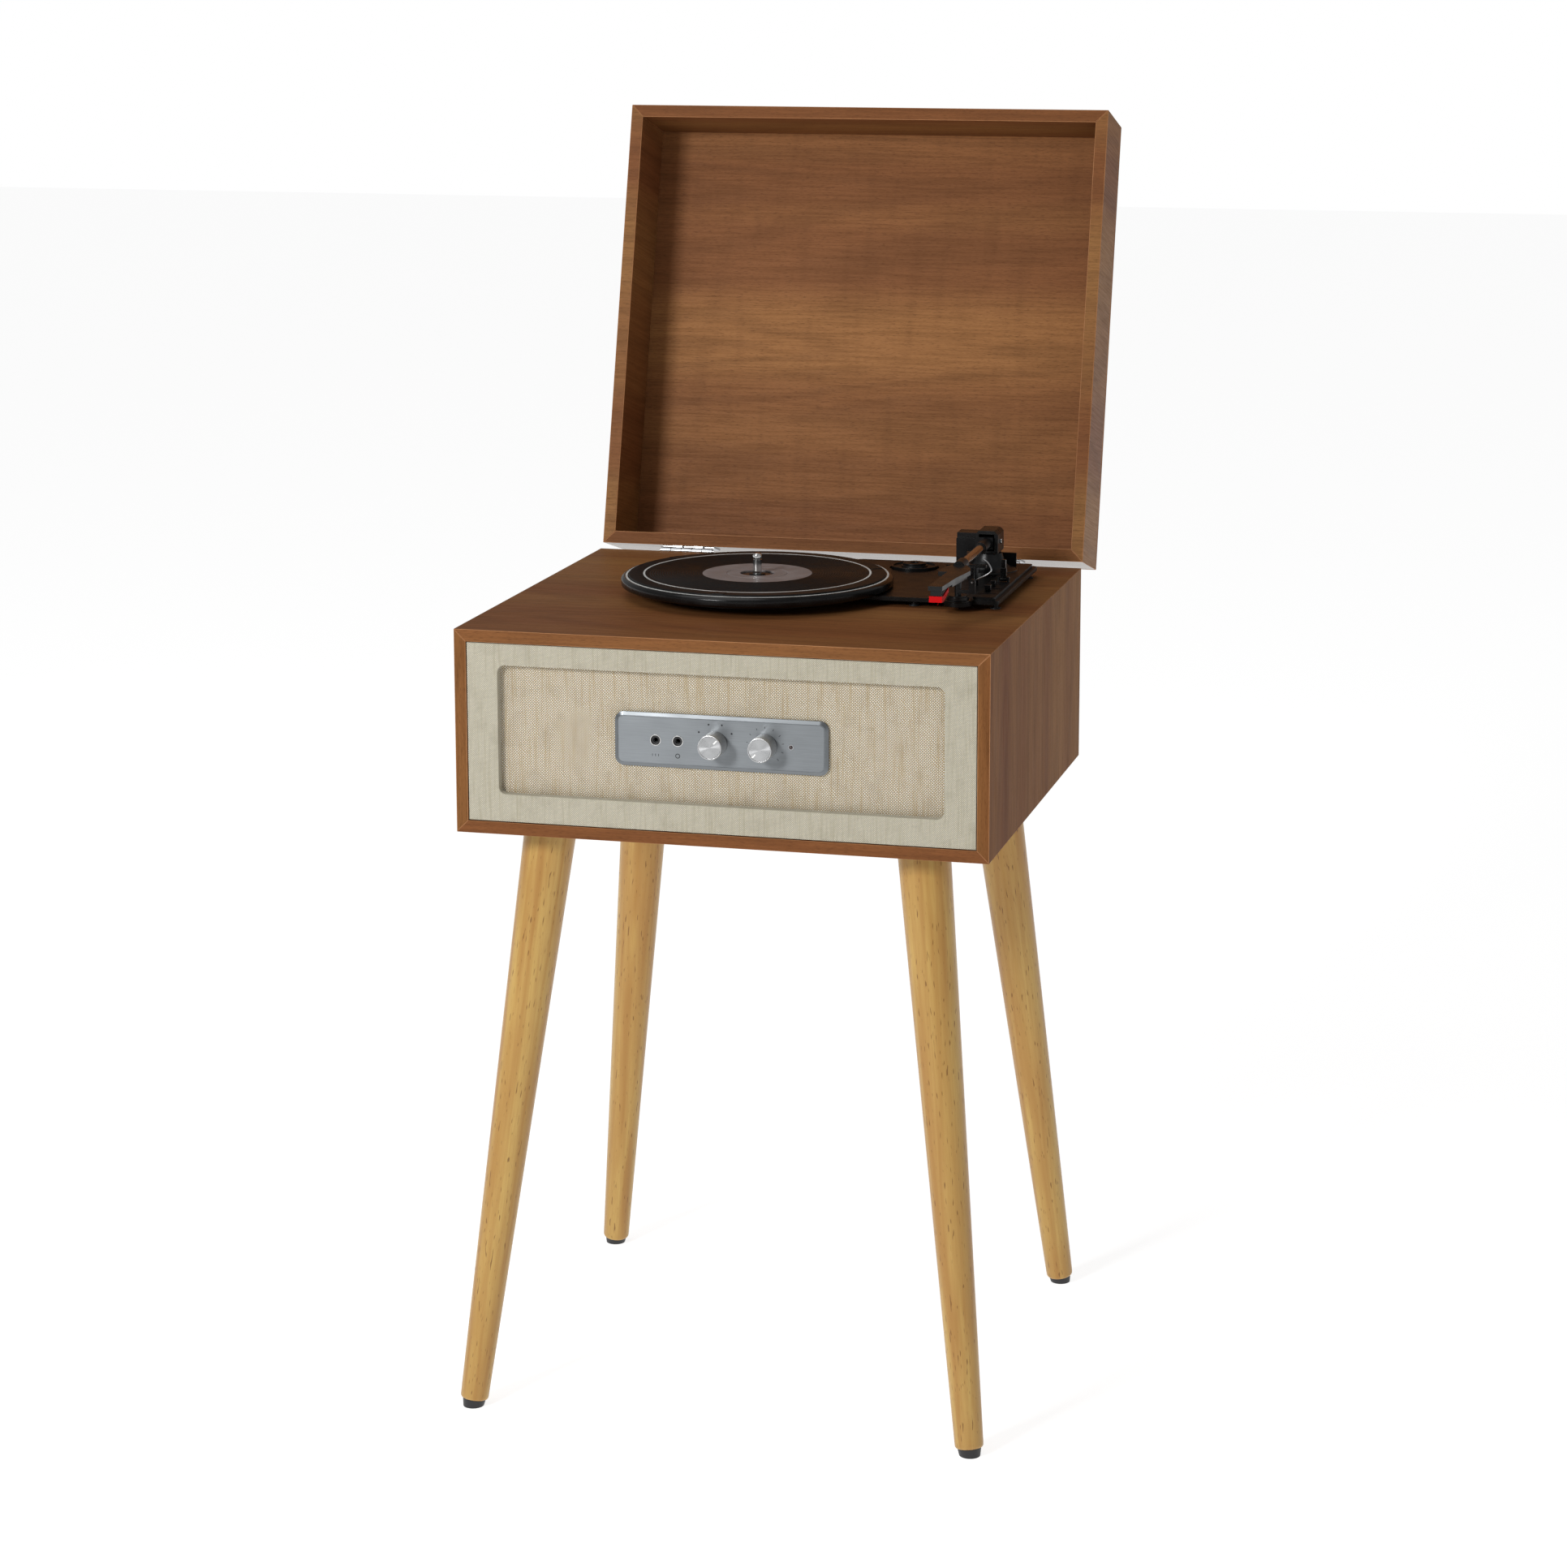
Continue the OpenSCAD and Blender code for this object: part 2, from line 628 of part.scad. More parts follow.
module arm_rest() color("#18181a") on_deck(rest_x, rest_y) {
    translate([0, 0, deck_top]) cylinder(h = 3.7, r = 8.8);
    translate([0, 0, deck_top + 3.7]) cylinder(h = 1.2, r = 7.6);
    translate([0, 0, deck_top + 4.9]) cylinder(h = 12.4, r = 2.6);
    translate([-5, -3, 25.6]) cube([10, 6, 2.9]);
    difference() {
        union() {
            translate([0, -2.6, clip_z - 9]) cube([clip_x - rest_x + 2.6, 2.2, 3]);
            translate([clip_x - rest_x - 2.6, -2.6, clip_z - 9]) cube([5.2, 2.2, 9]);
            translate([clip_x - rest_x, -0.4, clip_z]) rotate([90, 0, 0]) cylinder(h = 2.2, r = 2.6);
        }
        translate([clip_x - rest_x, cut, clip_z]) rotate([90, 0, 0]) cylinder(h = 6, r = 1.05);
    }
}

// wire latch, drawn swung out to the side; it turns about a pin that runs along Y
clip_rest_turn = 60;

module rest_clip() color("#a9abad") on_deck(clip_x, rest_y, clip_z) rotate([0, clip_rest_turn, 0]) {
    rotate([90, 0, 0]) translate([0, 0, -3]) cylinder(h = 6.2, r = 1);
    translate([0, 2.2, 0]) cylinder(h = 17.6, r = 1);
    translate([1, 2.2, 17.6]) rotate([0, -90, 0]) cylinder(h = 13, r = 1);
}

// ---- tonearm ----

// children are drawn with the arm's pivot at the origin and the arm along -Y
module on_arm() on_deck(arm_x, arm_y, arm_z) rotate([0, 0, arm_turn]) children();

yoke_w = 19;
yoke_in = 12.6;
yoke_y0 = -11;
yoke_l = 27;

module yoke_outline() polygon([[-yoke_w / 2, -8.7], [-yoke_w / 2, 6.5], [-yoke_w / 2 + 3, 9.8],
    [yoke_w / 2 - 3, 9.8], [yoke_w / 2, 6.5], [yoke_w / 2, -8.7]]);

module arm_yoke() color("#1c1c1e") {
    on_arm() difference() {
        translate([0, yoke_y0 + yoke_l, 0]) rotate([90, 0, 0]) linear_extrude(yoke_l) yoke_outline();
        translate([-yoke_in / 2, yoke_y0 - cut, -6.6]) cube([yoke_in, yoke_l - 3, 13.5]);
        translate([-20, yoke_y0 - 4, 9.8]) rotate([-40, 0, 0]) translate([0, -6, -1.5]) cube([40, 9, 6]);
        translate([-20, yoke_y0 + yoke_l + 3, 9.8]) rotate([40, 0, 0]) translate([0, -3, -1.5])
            cube([40, 9, 6]);
    }
    on_arm() {
        rotate([0, 90, 0]) translate([0, 0, -yoke_w / 2 - 0.8]) cylinder(h = yoke_w + 1.6, r = pivot_r);
        translate([0, 0, -8.7 - 16.5]) cylinder(h = 16.6, r = arm_post_r);
        translate([-26.5, -3, -8.7]) cube([26.5 - yoke_w / 2, 20, 10.7]);
        translate([-26.5, -3, -17.5]) cube([9, 20, 9]);
        translate([-26.5, 0.2, 2]) cube([26.5 - yoke_w / 2, 16.8, 4]);
    }
}

module arm_carrier() color("#141416") on_arm() difference() {
    union() {
        translate([-5.8, -14, -4.8]) cube([11.6, 23, 9.6]);
        translate([0, -13, 0]) rotate([90, 0, 0]) cylinder(h = 25, r = 4.8);
    }
    rotate([0, 90, 0]) translate([0, 0, -10]) cylinder(h = 20, r = pivot_r + 0.05);
    translate([0, -18, 0]) rotate([90, 0, 0]) cylinder(h = 30, r = tube_r);
}

tube_end = 126;
socket_start = 113;

module arm_tube() color("#b8a79c") on_arm() translate([0, -18, 0]) rotate([90, 0, 0]) difference() {
    cylinder(h = tube_end - 18, r = tube_r);
    translate([0, 0, -cut]) cylinder(h = tube_end - 18 + 2 * cut, r = tube_r - 0.5);
}

head_front = 227;

module headshell() color("#19191b") on_arm() difference() {
    union() {
        translate([0, 0, -2]) linear_extrude(3.5) polygon([[-5.5, -head_front], [5.5, -head_front],
            [8.5, -186], [13.5, -153], [11, -141], [6, -128], [-6, -128], [-9.5, -140],
            [-10.6, -152], [-10.6, -161], [-3.4, -161], [-4.2, -190]]);
        translate([0, 0, -4]) linear_extrude(2) polygon([[-3.2, -196], [7.4, -196], [11.6, -156],
            [6, -132], [-6, -132], [-9, -146], [-9.4, -158], [-2.2, -158]]);
        translate([0, -socket_start, 0]) rotate([90, 0, 0]) cylinder(h = 18, r = 4.9);
    }
    translate([0, -socket_start + cut, 0]) rotate([90, 0, 0])
        cylinder(h = tube_end - socket_start + cut, r = tube_r);
}

module cartridge() color("#0f0f10") on_arm() {
    translate([-4.3, -head_front + 3, -8.2]) cube([8.6, 28, 6.2]);
    translate([-3.6, -head_front + 8, -10.4]) cube([7.2, 22, 2.4]);
}

tip_drop = 14.8;

module stylus() color("#b3121a") on_arm() {
    difference() {
        rotate([90, 0, 90]) translate([0, 0, -5]) linear_extrude(10) polygon([[-head_front + 1.2, -11.2],
            [-head_front + 2, -6.6], [-head_front + 8, -7.4], [-head_front + 29, -4.1],
            [-head_front + 29, -7.6], [-head_front + 9, -11.8]]);
        translate([-4.4, -head_front + 2.8, -10.5]) cube([8.8, 36, 9]);
    }
    translate([0, -arm_reach, -tip_drop + 0.2]) rotate([-62, 0, 0]) cylinder(h = 8.3, r = 0.35);
    translate([0, -arm_reach, -tip_drop]) cylinder(h = 0.7, r1 = 0.15, r2 = 0.4);
}

// ---- levers and switches on the deck ----

module cue_lever() color("#151517") on_deck(cue_x, cue_y, cue_z) {
    rotate([0, 90, 0]) translate([0, 0, -cue_lug - 1]) cylinder(h = 2 * cue_lug + 2, r = cue_pin_r);
    rotate([0, 90, 0]) translate([0, 0, -2.5]) cylinder(h = 5, r = 1.9);
    translate([-2.5, -1.6, 0]) cube([5, 3.2, 9]);
    translate([-1.8, -1.2, 9]) cube([3.6, 2.4, 7]);
}

module cue_lift() color("#17171a") on_deck(arm_x + 2, arm_y - cue_bar) {
    translate([0, 0, 2]) cylinder(h = 21, r = lift_r);
    translate([-13, -2, 22.7]) cube([22, 4, 2.4]);
}

switch_x = 167;
switch_ys = [203, 224];

module slide_button(y, w) on_deck(switch_x, y) {
    translate([-w / 2, -2.4, strip_top + 0.3]) cube([w, 4.8, 4.6]);
    translate([-1.1, -1.6, deck_low]) cube([2.2, 3.2, 6.4]);
}

module speed_selector() color("#0d0d0e") slide_button(switch_ys[0], 5);
module auto_stop_switch() color("#0d0d0e") slide_button(switch_ys[1], 4);

module adapter_45() color("#151517") on_deck(adapter_x, adapter_y, deck_top - 1.3) difference() {
    union() {
        cylinder(h = 3.4, r = adapter_r);
        cylinder(h = 5.4, r = 9.5);
    }
    translate([0, 0, -cut]) cylinder(h = 10, r = 3.65);
    translate([0, 0, 2.2]) difference() {
        cylinder(h = 4, r = adapter_r - 1.8);
        translate([0, 0, -cut]) cylinder(h = 6, r = 11);
    }
}

top_panel();
bottom_panel();
left_panel();
right_panel();
back_panel();
speaker_baffle();
grille_frame();
grille_cloth();
control_plate();
audio_jacks();
power_led();
source_switch();
volume_control();
amplifier_board();
speaker_frames();
speaker_cones();
back_screws();
leg_front_left();
leg_front_right();
leg_back_left();
leg_back_right();
leg_plates();
leg_bolts();
foot_glides();
deck_plate();
deck_feet();
spindle_bearing();
motor();
drive_belt();
rca_outputs();
dc_inlet();
cabinet_hinge_leaves();
hinge_pins();
arm_base();
arm_rest();
lid_panel();
lid_front_rail();
lid_back_rail();
lid_left_rail();
lid_right_rail();
lid_hinge_leaves();
platter();
platter_mat();
mat_label();
spindle();
motor_pulley();
arm_yoke();
arm_carrier();
arm_tube();
headshell();
cartridge();
stylus();
cue_lever();
cue_lift();
rest_clip();
speed_selector();
auto_stop_switch();
adapter_45();
mode_knob();
volume_knob();
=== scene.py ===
import math

import bmesh
import bpy
from bpy.props import FloatProperty, FloatVectorProperty, PointerProperty
from mathutils import Matrix, Vector, noise


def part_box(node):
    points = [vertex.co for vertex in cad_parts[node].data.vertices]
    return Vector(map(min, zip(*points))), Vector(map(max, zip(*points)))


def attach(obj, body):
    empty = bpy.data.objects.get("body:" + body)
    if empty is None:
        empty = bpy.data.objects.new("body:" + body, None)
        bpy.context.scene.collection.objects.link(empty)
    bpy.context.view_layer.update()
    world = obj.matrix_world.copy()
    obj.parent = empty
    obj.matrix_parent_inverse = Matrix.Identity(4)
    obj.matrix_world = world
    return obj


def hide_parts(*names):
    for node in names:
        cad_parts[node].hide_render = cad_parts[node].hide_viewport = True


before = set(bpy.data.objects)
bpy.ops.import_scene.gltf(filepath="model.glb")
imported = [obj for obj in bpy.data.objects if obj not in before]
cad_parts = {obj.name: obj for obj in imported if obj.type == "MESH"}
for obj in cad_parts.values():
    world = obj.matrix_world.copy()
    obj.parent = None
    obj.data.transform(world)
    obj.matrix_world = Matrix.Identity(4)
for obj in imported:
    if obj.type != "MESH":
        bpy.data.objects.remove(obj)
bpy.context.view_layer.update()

bl_info = {
    "name": "Record Player Console",
    "version": (1, 0, 0),
    "blender": (4, 5, 0),
    "location": "3D View > Sidebar > Console",
    "description": "Dresses the packed frame of a record player console on splayed legs",
    "category": "Add Mesh",
}

MM = 0.001

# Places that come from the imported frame, in metres
front_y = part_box("left_panel")[0].y      # plane of the cabinet's front edges
deck_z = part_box("top_panel")[1].z        # surface that the turntable stands on
floor_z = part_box("bottom_panel")[0].z    # underside of the cabinet

# Sizes in mm that the pieces share with the part
PLATTER = (-21.0, 198.0)                 # spindle's place from the middle and from the front
ARM = (147.5, 302.0, 34.0)               # tonearm pivot: x, y and height above the cabinet
ARM_TURN = 1.0
KNOBS = {"mode_knob": (-3.3, -45.0), "volume_knob": (35.7, 135.0)}
KNOB_FRONT = 5 - 0.7 - 16.3
PLATE_HEIGHT = 80.0                      # middle of the control plate above the underside
JACKS = (-50.6, -33.0)                   # the two sockets on the control plate
LAMP = 56.0
SOCKET_BORE, LAMP_BORE = 3.85, 1.9       # radii of the holes in the control plate
PLATE_FRONT = 5.0
MARK_FRONT = 4.96
REST = (150.5, 165.0)                    # tonearm rest, and the pin its latch turns on
LATCH = (162.1, 165.0, 24.0)
LATCH_OPEN = 60.0
HINGE_Y = 388.5
HINGE_SCREW_Y = 385.2
HINGES = (-134, 134)
LID_OPEN = 105.0


# ---------------------------------------------------------------- places

def on_top(x, y, z=0.0):
    """Place in mm from the middle, the front plane and the top of the cabinet."""
    return Vector((x * MM, front_y + y * MM, deck_z + z * MM))


def on_front(x, y, z):
    """Place in mm from the middle, the front plane and the underside of the cabinet."""
    return Vector((x * MM, front_y + y * MM, floor_z + z * MM))


# turns a shape's Z to run backwards from the front, and its Y downwards
BACKWARDS = Matrix.Rotation(math.radians(-90), 4, "X")


def facing(x, y, z):
    return Matrix.Translation(on_front(x, y, z)) @ BACKWARDS


# ---------------------------------------------------------------- shapes

def soften(bm, width, segments=2, fold=30, face_index=None):
    """Bevels every edge that folds more than an angle; its faces may take their own finish."""
    sharp = [e for e in bm.edges
             if len(e.link_faces) == 2 and e.calc_face_angle() > math.radians(fold)]
    made = bmesh.ops.bevel(bm, geom=sharp, offset=width * MM, offset_type="OFFSET",
                           segments=segments, profile=0.5, affect="EDGES",
                           clamp_overlap=True, material=-1)
    if face_index is not None:
        for face in made["faces"]:
            face.material_index = face_index
    return bm


def lathe(profile, place=Matrix(), steps=96):
    """Turned shape from (radius, height) points in mm."""
    bm = bmesh.new()
    points = [bm.verts.new((r * MM, 0, h * MM)) for r, h in profile]
    edges = [bm.edges.new(pair) for pair in zip(points, points[1:])]
    bmesh.ops.spin(bm, geom=points + edges, cent=(0, 0, 0), axis=(0, 0, 1),
                   angle=math.tau, steps=steps, use_merge=True)
    bmesh.ops.remove_doubles(bm, verts=bm.verts, dist=1e-7)
    bmesh.ops.recalc_face_normals(bm, faces=bm.faces)
    bmesh.ops.transform(bm, matrix=place, verts=bm.verts)
    return bm


def block(width, depth, height, place=Matrix(), corner=0.0, ease=0.0):
    """Block standing on z = 0, with rounded upright corners and eased edges, in mm."""
    bm = bmesh.new()
    size = Matrix.Diagonal((width * MM, depth * MM, height * MM, 1))
    raised = Matrix.Translation((0, 0, height / 2 * MM))
    bmesh.ops.create_cube(bm, size=1, matrix=raised @ size)
    if corner:
        upright = [e for e in bm.edges if abs(e.verts[0].co.z - e.verts[1].co.z) > 1e-6]
        bmesh.ops.bevel(bm, geom=upright, offset=corner * MM, offset_type="OFFSET",
                        segments=6, profile=0.5, affect="EDGES", material=-1)
    if ease:
        soften(bm, ease)
    bmesh.ops.transform(bm, matrix=place, verts=bm.verts)
    return bm


def rod(route, radius, place=Matrix(), sides=12):
    """Round wire along a smoothed route of points in mm."""
    curve = bpy.data.curves.new("route", "CURVE")
    curve.dimensions = "3D"
    curve.bevel_depth = radius * MM
    curve.bevel_resolution = sides // 4
    curve.use_fill_caps = True
    curve.resolution_u = 6
    spline = curve.splines.new("NURBS")
    spline.points.add(len(route) - 1)
    for point, at in zip(spline.points, route):
        point.co = (*(place @ Vector([c * MM for c in at])), 1)
    spline.order_u = 3
    spline.use_endpoint_u = True
    holder = bpy.data.objects.new("route", curve)
    bm = bmesh.new()
    bm.from_mesh(holder.to_mesh())
    holder.to_mesh_clear()
    bpy.data.objects.remove(holder)
    bpy.data.curves.remove(curve)
    bmesh.ops.remove_doubles(bm, verts=bm.verts, dist=1e-6)
    bmesh.ops.recalc_face_normals(bm, faces=bm.faces)
    return bm


def merged(node):
    """Copy of a node's mesh with its loose triangles joined into flat faces."""
    bm = bmesh.new()
    bm.from_mesh(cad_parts[node].data)
    for face in bm.faces:
        face.material_index = 0
    bmesh.ops.remove_doubles(bm, verts=bm.verts, dist=1e-6)
    bmesh.ops.dissolve_limit(bm, angle_limit=math.radians(1), verts=bm.verts, edges=bm.edges)
    return bm


def bored(bm, cutter):
    """Cuts one shape out of another."""
    holders = []
    for shape in (bm, cutter):
        mesh = bpy.data.meshes.new("part")
        shape.to_mesh(mesh)
        shape.free()
        holder = bpy.data.objects.new("part", mesh)
        bpy.context.scene.collection.objects.link(holder)
        holders.append(holder)
    bore = holders[0].modifiers.new("bore", "BOOLEAN")
    bore.solver = "EXACT"
    bore.object = holders[1]
    result = bmesh.new()
    result.from_object(holders[0], bpy.context.evaluated_depsgraph_get())
    for holder in holders:
        mesh = holder.data
        bpy.data.objects.remove(holder)
        bpy.data.meshes.remove(mesh)
    return result


def painted(bm, index):
    for face in bm.faces:
        face.material_index = index
    return bm


def piece(name, shapes, finishes, body="console", nodes=(), angle=35):
    """Makes one object from shapes, finishes it and tells the frame where it belongs."""
    whole = bmesh.new()
    for shape in shapes if isinstance(shapes, list) else [shapes]:
        part = bpy.data.meshes.new("part")
        shape.to_mesh(part)
        shape.free()
        whole.from_mesh(part)
        bpy.data.meshes.remove(part)
    mesh = bpy.data.meshes.new(name)
    whole.to_mesh(mesh)
    whole.free()
    for finish_used in finishes if isinstance(finishes, list) else [finishes]:
        mesh.materials.append(finish_used)
    mesh.shade_smooth()
    mesh.set_sharp_from_angle(angle=math.radians(angle))
    obj = bpy.data.objects.new(name, mesh)
    bpy.context.scene.collection.objects.link(obj)
    even = obj.modifiers.new("even_shading", "WEIGHTED_NORMAL")
    even.keep_sharp = True
    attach(obj, body)
    if nodes:
        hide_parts(*nodes)
    return obj


def eased(name, node, finishes, slot, body="console", width=0.4, segments=2, fold=30,
          edge_finish=None, extra=()):
    """Stands for a node with a copy whose edges are rounded, and adds extra shapes to it."""
    bm = soften(merged(node), width, segments, fold, edge_finish)
    return piece(name, [bm, *extra], finishes, body, (node,))


def eased_each(made, rows):
    """Eases several nodes, each in one finish: rows of node, how it is made, finish, slot,
    body, width of the rounding and its segments."""
    for node, way, look, slot, body, width, *segments in rows:
        eased(f"{node}_{way}", node, made[look], slot, body, width, *segments)


def flat_uv(obj, across, up):
    """Gives a piece a UV map that runs along two directions, in metres."""
    layer = obj.data.uv_layers.new(name="lay")
    for loop in obj.data.loops:
        at = obj.data.vertices[loop.vertex_index].co
        layer.data[loop.index].uv = (at.dot(across), at.dot(up))


def turning_uv(obj, centre, axis):
    """Gives a piece a UV map whose U runs round an axis."""
    layer = obj.data.uv_layers.new(name="lay")
    side = axis.orthogonal().normalized()
    other = axis.cross(side)
    for face in obj.data.polygons:
        middle = face.center - centre
        start = math.atan2(middle.dot(other), middle.dot(side))
        for index in face.loop_indices:
            at = obj.data.vertices[obj.data.loops[index].vertex_index].co - centre
            turn = math.atan2(at.dot(other), at.dot(side)) - start
            turn = (turn + math.pi) % math.tau - math.pi
            radius = (at - at.dot(axis) * axis).length
            layer.data[index].uv = ((start + turn) / math.tau, (radius + at.dot(axis)) * 10)


# ---------------------------------------------------------------- finishes

def linear(hex_colour):
    """Linear RGBA of an sRGB hex colour."""
    parts = [int(hex_colour[i:i + 2], 16) / 255 for i in (1, 3, 5)]
    return (*[p / 12.92 if p <= 0.04045 else ((p + 0.055) / 1.055) ** 2.4 for p in parts], 1.0)


def wire(tree, node, inputs):
    for key, value in inputs.items():
        socket = node.inputs[key] if isinstance(key, int) else next(
            s for s in node.inputs if s.enabled and s.name == key)
        if isinstance(value, bpy.types.Node):
            value = next(s for s in value.outputs if s.enabled)
        if isinstance(value, bpy.types.NodeSocket):
            tree.links.new(value, socket)
        else:
            socket.default_value = value
    return node


def add(tree, kind, settings=None, inputs=None):
    """Adds a node; an input takes a value, a socket, or a node's first output."""
    node = tree.nodes.new(kind)
    for key, value in (settings or {}).items():
        setattr(node, key, value)
    return wire(tree, node, inputs or {})


def finish(name, **sockets):
    """New material whose uniform values are set on the shader's own sockets."""
    material = bpy.data.materials.new(name)
    material.use_nodes = True
    tree = material.node_tree
    shader = tree.nodes["Principled BSDF"]
    for key, value in sockets.items():
        shader.inputs[key.replace("_", " ")].default_value = value
    return material, tree, shader


def overlaid(tree, colour, layers):
    """Lays colours over a base: each shows from none to its share as its pattern rises."""
    for pattern, low, high, share, over in layers:
        colour = add(tree, "ShaderNodeMix", {"data_type": "RGBA"}, {
            "Factor": add(tree, "ShaderNodeMapRange", {}, {
                "Value": pattern, "From Min": low, "From Max": high, "To Max": share}),
            "A": colour, "B": over})
    return colour


def walnut_foil(name, light, red, dark, stretched=(True, False, False), turn=0.0, seed=0.0,
                ripple=0.0, gloss=0.06, roughness=0.48):
    """Walnut-print foil pressed on particle board under satin lacquer: fine dark pores and
    fibres along the grain, broad planks of paler and redder tone, and a low soft gloss."""
    material, tree, shader = finish(name, Specular_IOR_Level=gloss)
    place = add(tree, "ShaderNodeTexCoord").outputs["Object"]
    grains = {}
    for stretch in (6.0, 9.0, 30.0):
        grains[stretch] = add(tree, "ShaderNodeMapping", {"vector_type": "TEXTURE"}, {
            "Vector": place, "Location": (seed, seed * 0.7, seed * 0.4),
            "Rotation": (math.radians(turn), 0, 0),
            "Scale": [stretch if axis else 1.0 for axis in stretched]})
    planks, figure, fibres, pores, clouds = (
        add(tree, "ShaderNodeTexNoise", {}, {
            "Vector": grains[stretch], "Scale": 1000 / size, "Detail": detail, **more})
        for stretch, size, detail, more in (
            (30.0, 75, 1.0, {}), (6.0, 110, 1.5, {"Distortion": 0.4}),
            (30.0, 1.6, 3.0, {"Roughness": 0.6}), (9.0, 0.5, 1.0, {}), (6.0, 30, 2.0, {})))
    rings = add(tree, "ShaderNodeMath", {"operation": "SINE"}, {
        0: add(tree, "ShaderNodeMath", {"operation": "MULTIPLY"}, {0: figure, 1: 70.0})})
    colour = overlaid(tree, light, (
        (planks, 0.38, 0.62, 1.0, red), (rings, -0.2, 1.0, 0.17, dark),
        (fibres, 0.4, 0.68, 0.3, dark), (clouds, 0.5, 0.8, 0.12, dark),
        (pores, 0.55, 0.7, 0.38, dark)))
    if ripple:
        # curly figure: short bars across the grain
        bars = add(tree, "ShaderNodeTexNoise", {}, {
            "Vector": add(tree, "ShaderNodeMapping", {"vector_type": "TEXTURE"}, {
                "Vector": place, "Rotation": (math.radians(turn), 0, 0), "Scale": (1, 6, 6)}),
            "Scale": 1000 / 14, "Detail": 1.0})
        colour = overlaid(tree, colour, ((bars, 0.5, 0.75, ripple, dark),))
    wire(tree, shader, {
        "Base Color": colour,
        "Roughness": add(tree, "ShaderNodeMapRange", {}, {
            "Value": fibres, "From Min": 0.3, "From Max": 0.7,
            "To Min": roughness - 0.05, "To Max": roughness + 0.06}),
        "Normal": add(tree, "ShaderNodeBump", {}, {
            "Height": pores, "Strength": 0.25, "Distance": 0.04 * MM})})
    return material


def varnished_rubberwood(name, light, dark, fleck):
    """Turned rubberwood under clear gloss varnish: long pale grain, short dark flecks."""
    material, tree, shader = finish(
        name, Roughness=0.38, Specular_IOR_Level=0.3, Coat_Weight=0.2, Coat_Roughness=0.18)
    place = add(tree, "ShaderNodeAttribute", {"attribute_name": "grain"}).outputs["Vector"]
    long_grain, short_grain = (
        add(tree, "ShaderNodeMapping", {"vector_type": "TEXTURE"}, {
            "Vector": place, "Scale": (1, 1, stretch)}) for stretch in (22, 7))
    bands, fibres, flecks, clouds = (
        add(tree, "ShaderNodeTexNoise", {}, {
            "Vector": grain, "Scale": 1000 / size, "Detail": detail, "Distortion": bend})
        for grain, size, detail, bend in (
            (long_grain, 9, 2.0, 0.5), (long_grain, 0.9, 2.0, 0.0),
            (short_grain, 1.1, 0.0, 0.0), (place, 70, 2.0, 0.0)))
    colour = overlaid(tree, light, (
        (bands, 0.35, 0.65, 1.0, dark), (fibres, 0.4, 0.7, 0.35, dark),
        (clouds, 0.45, 0.8, 0.5, dark), (flecks, 0.72, 0.8, 0.7, fleck)))
    wire(tree, shader, {"Base Color": colour, "Normal": add(tree, "ShaderNodeBump", {}, {
        "Height": flecks, "Strength": 0.2, "Distance": 0.04 * MM})})
    return material


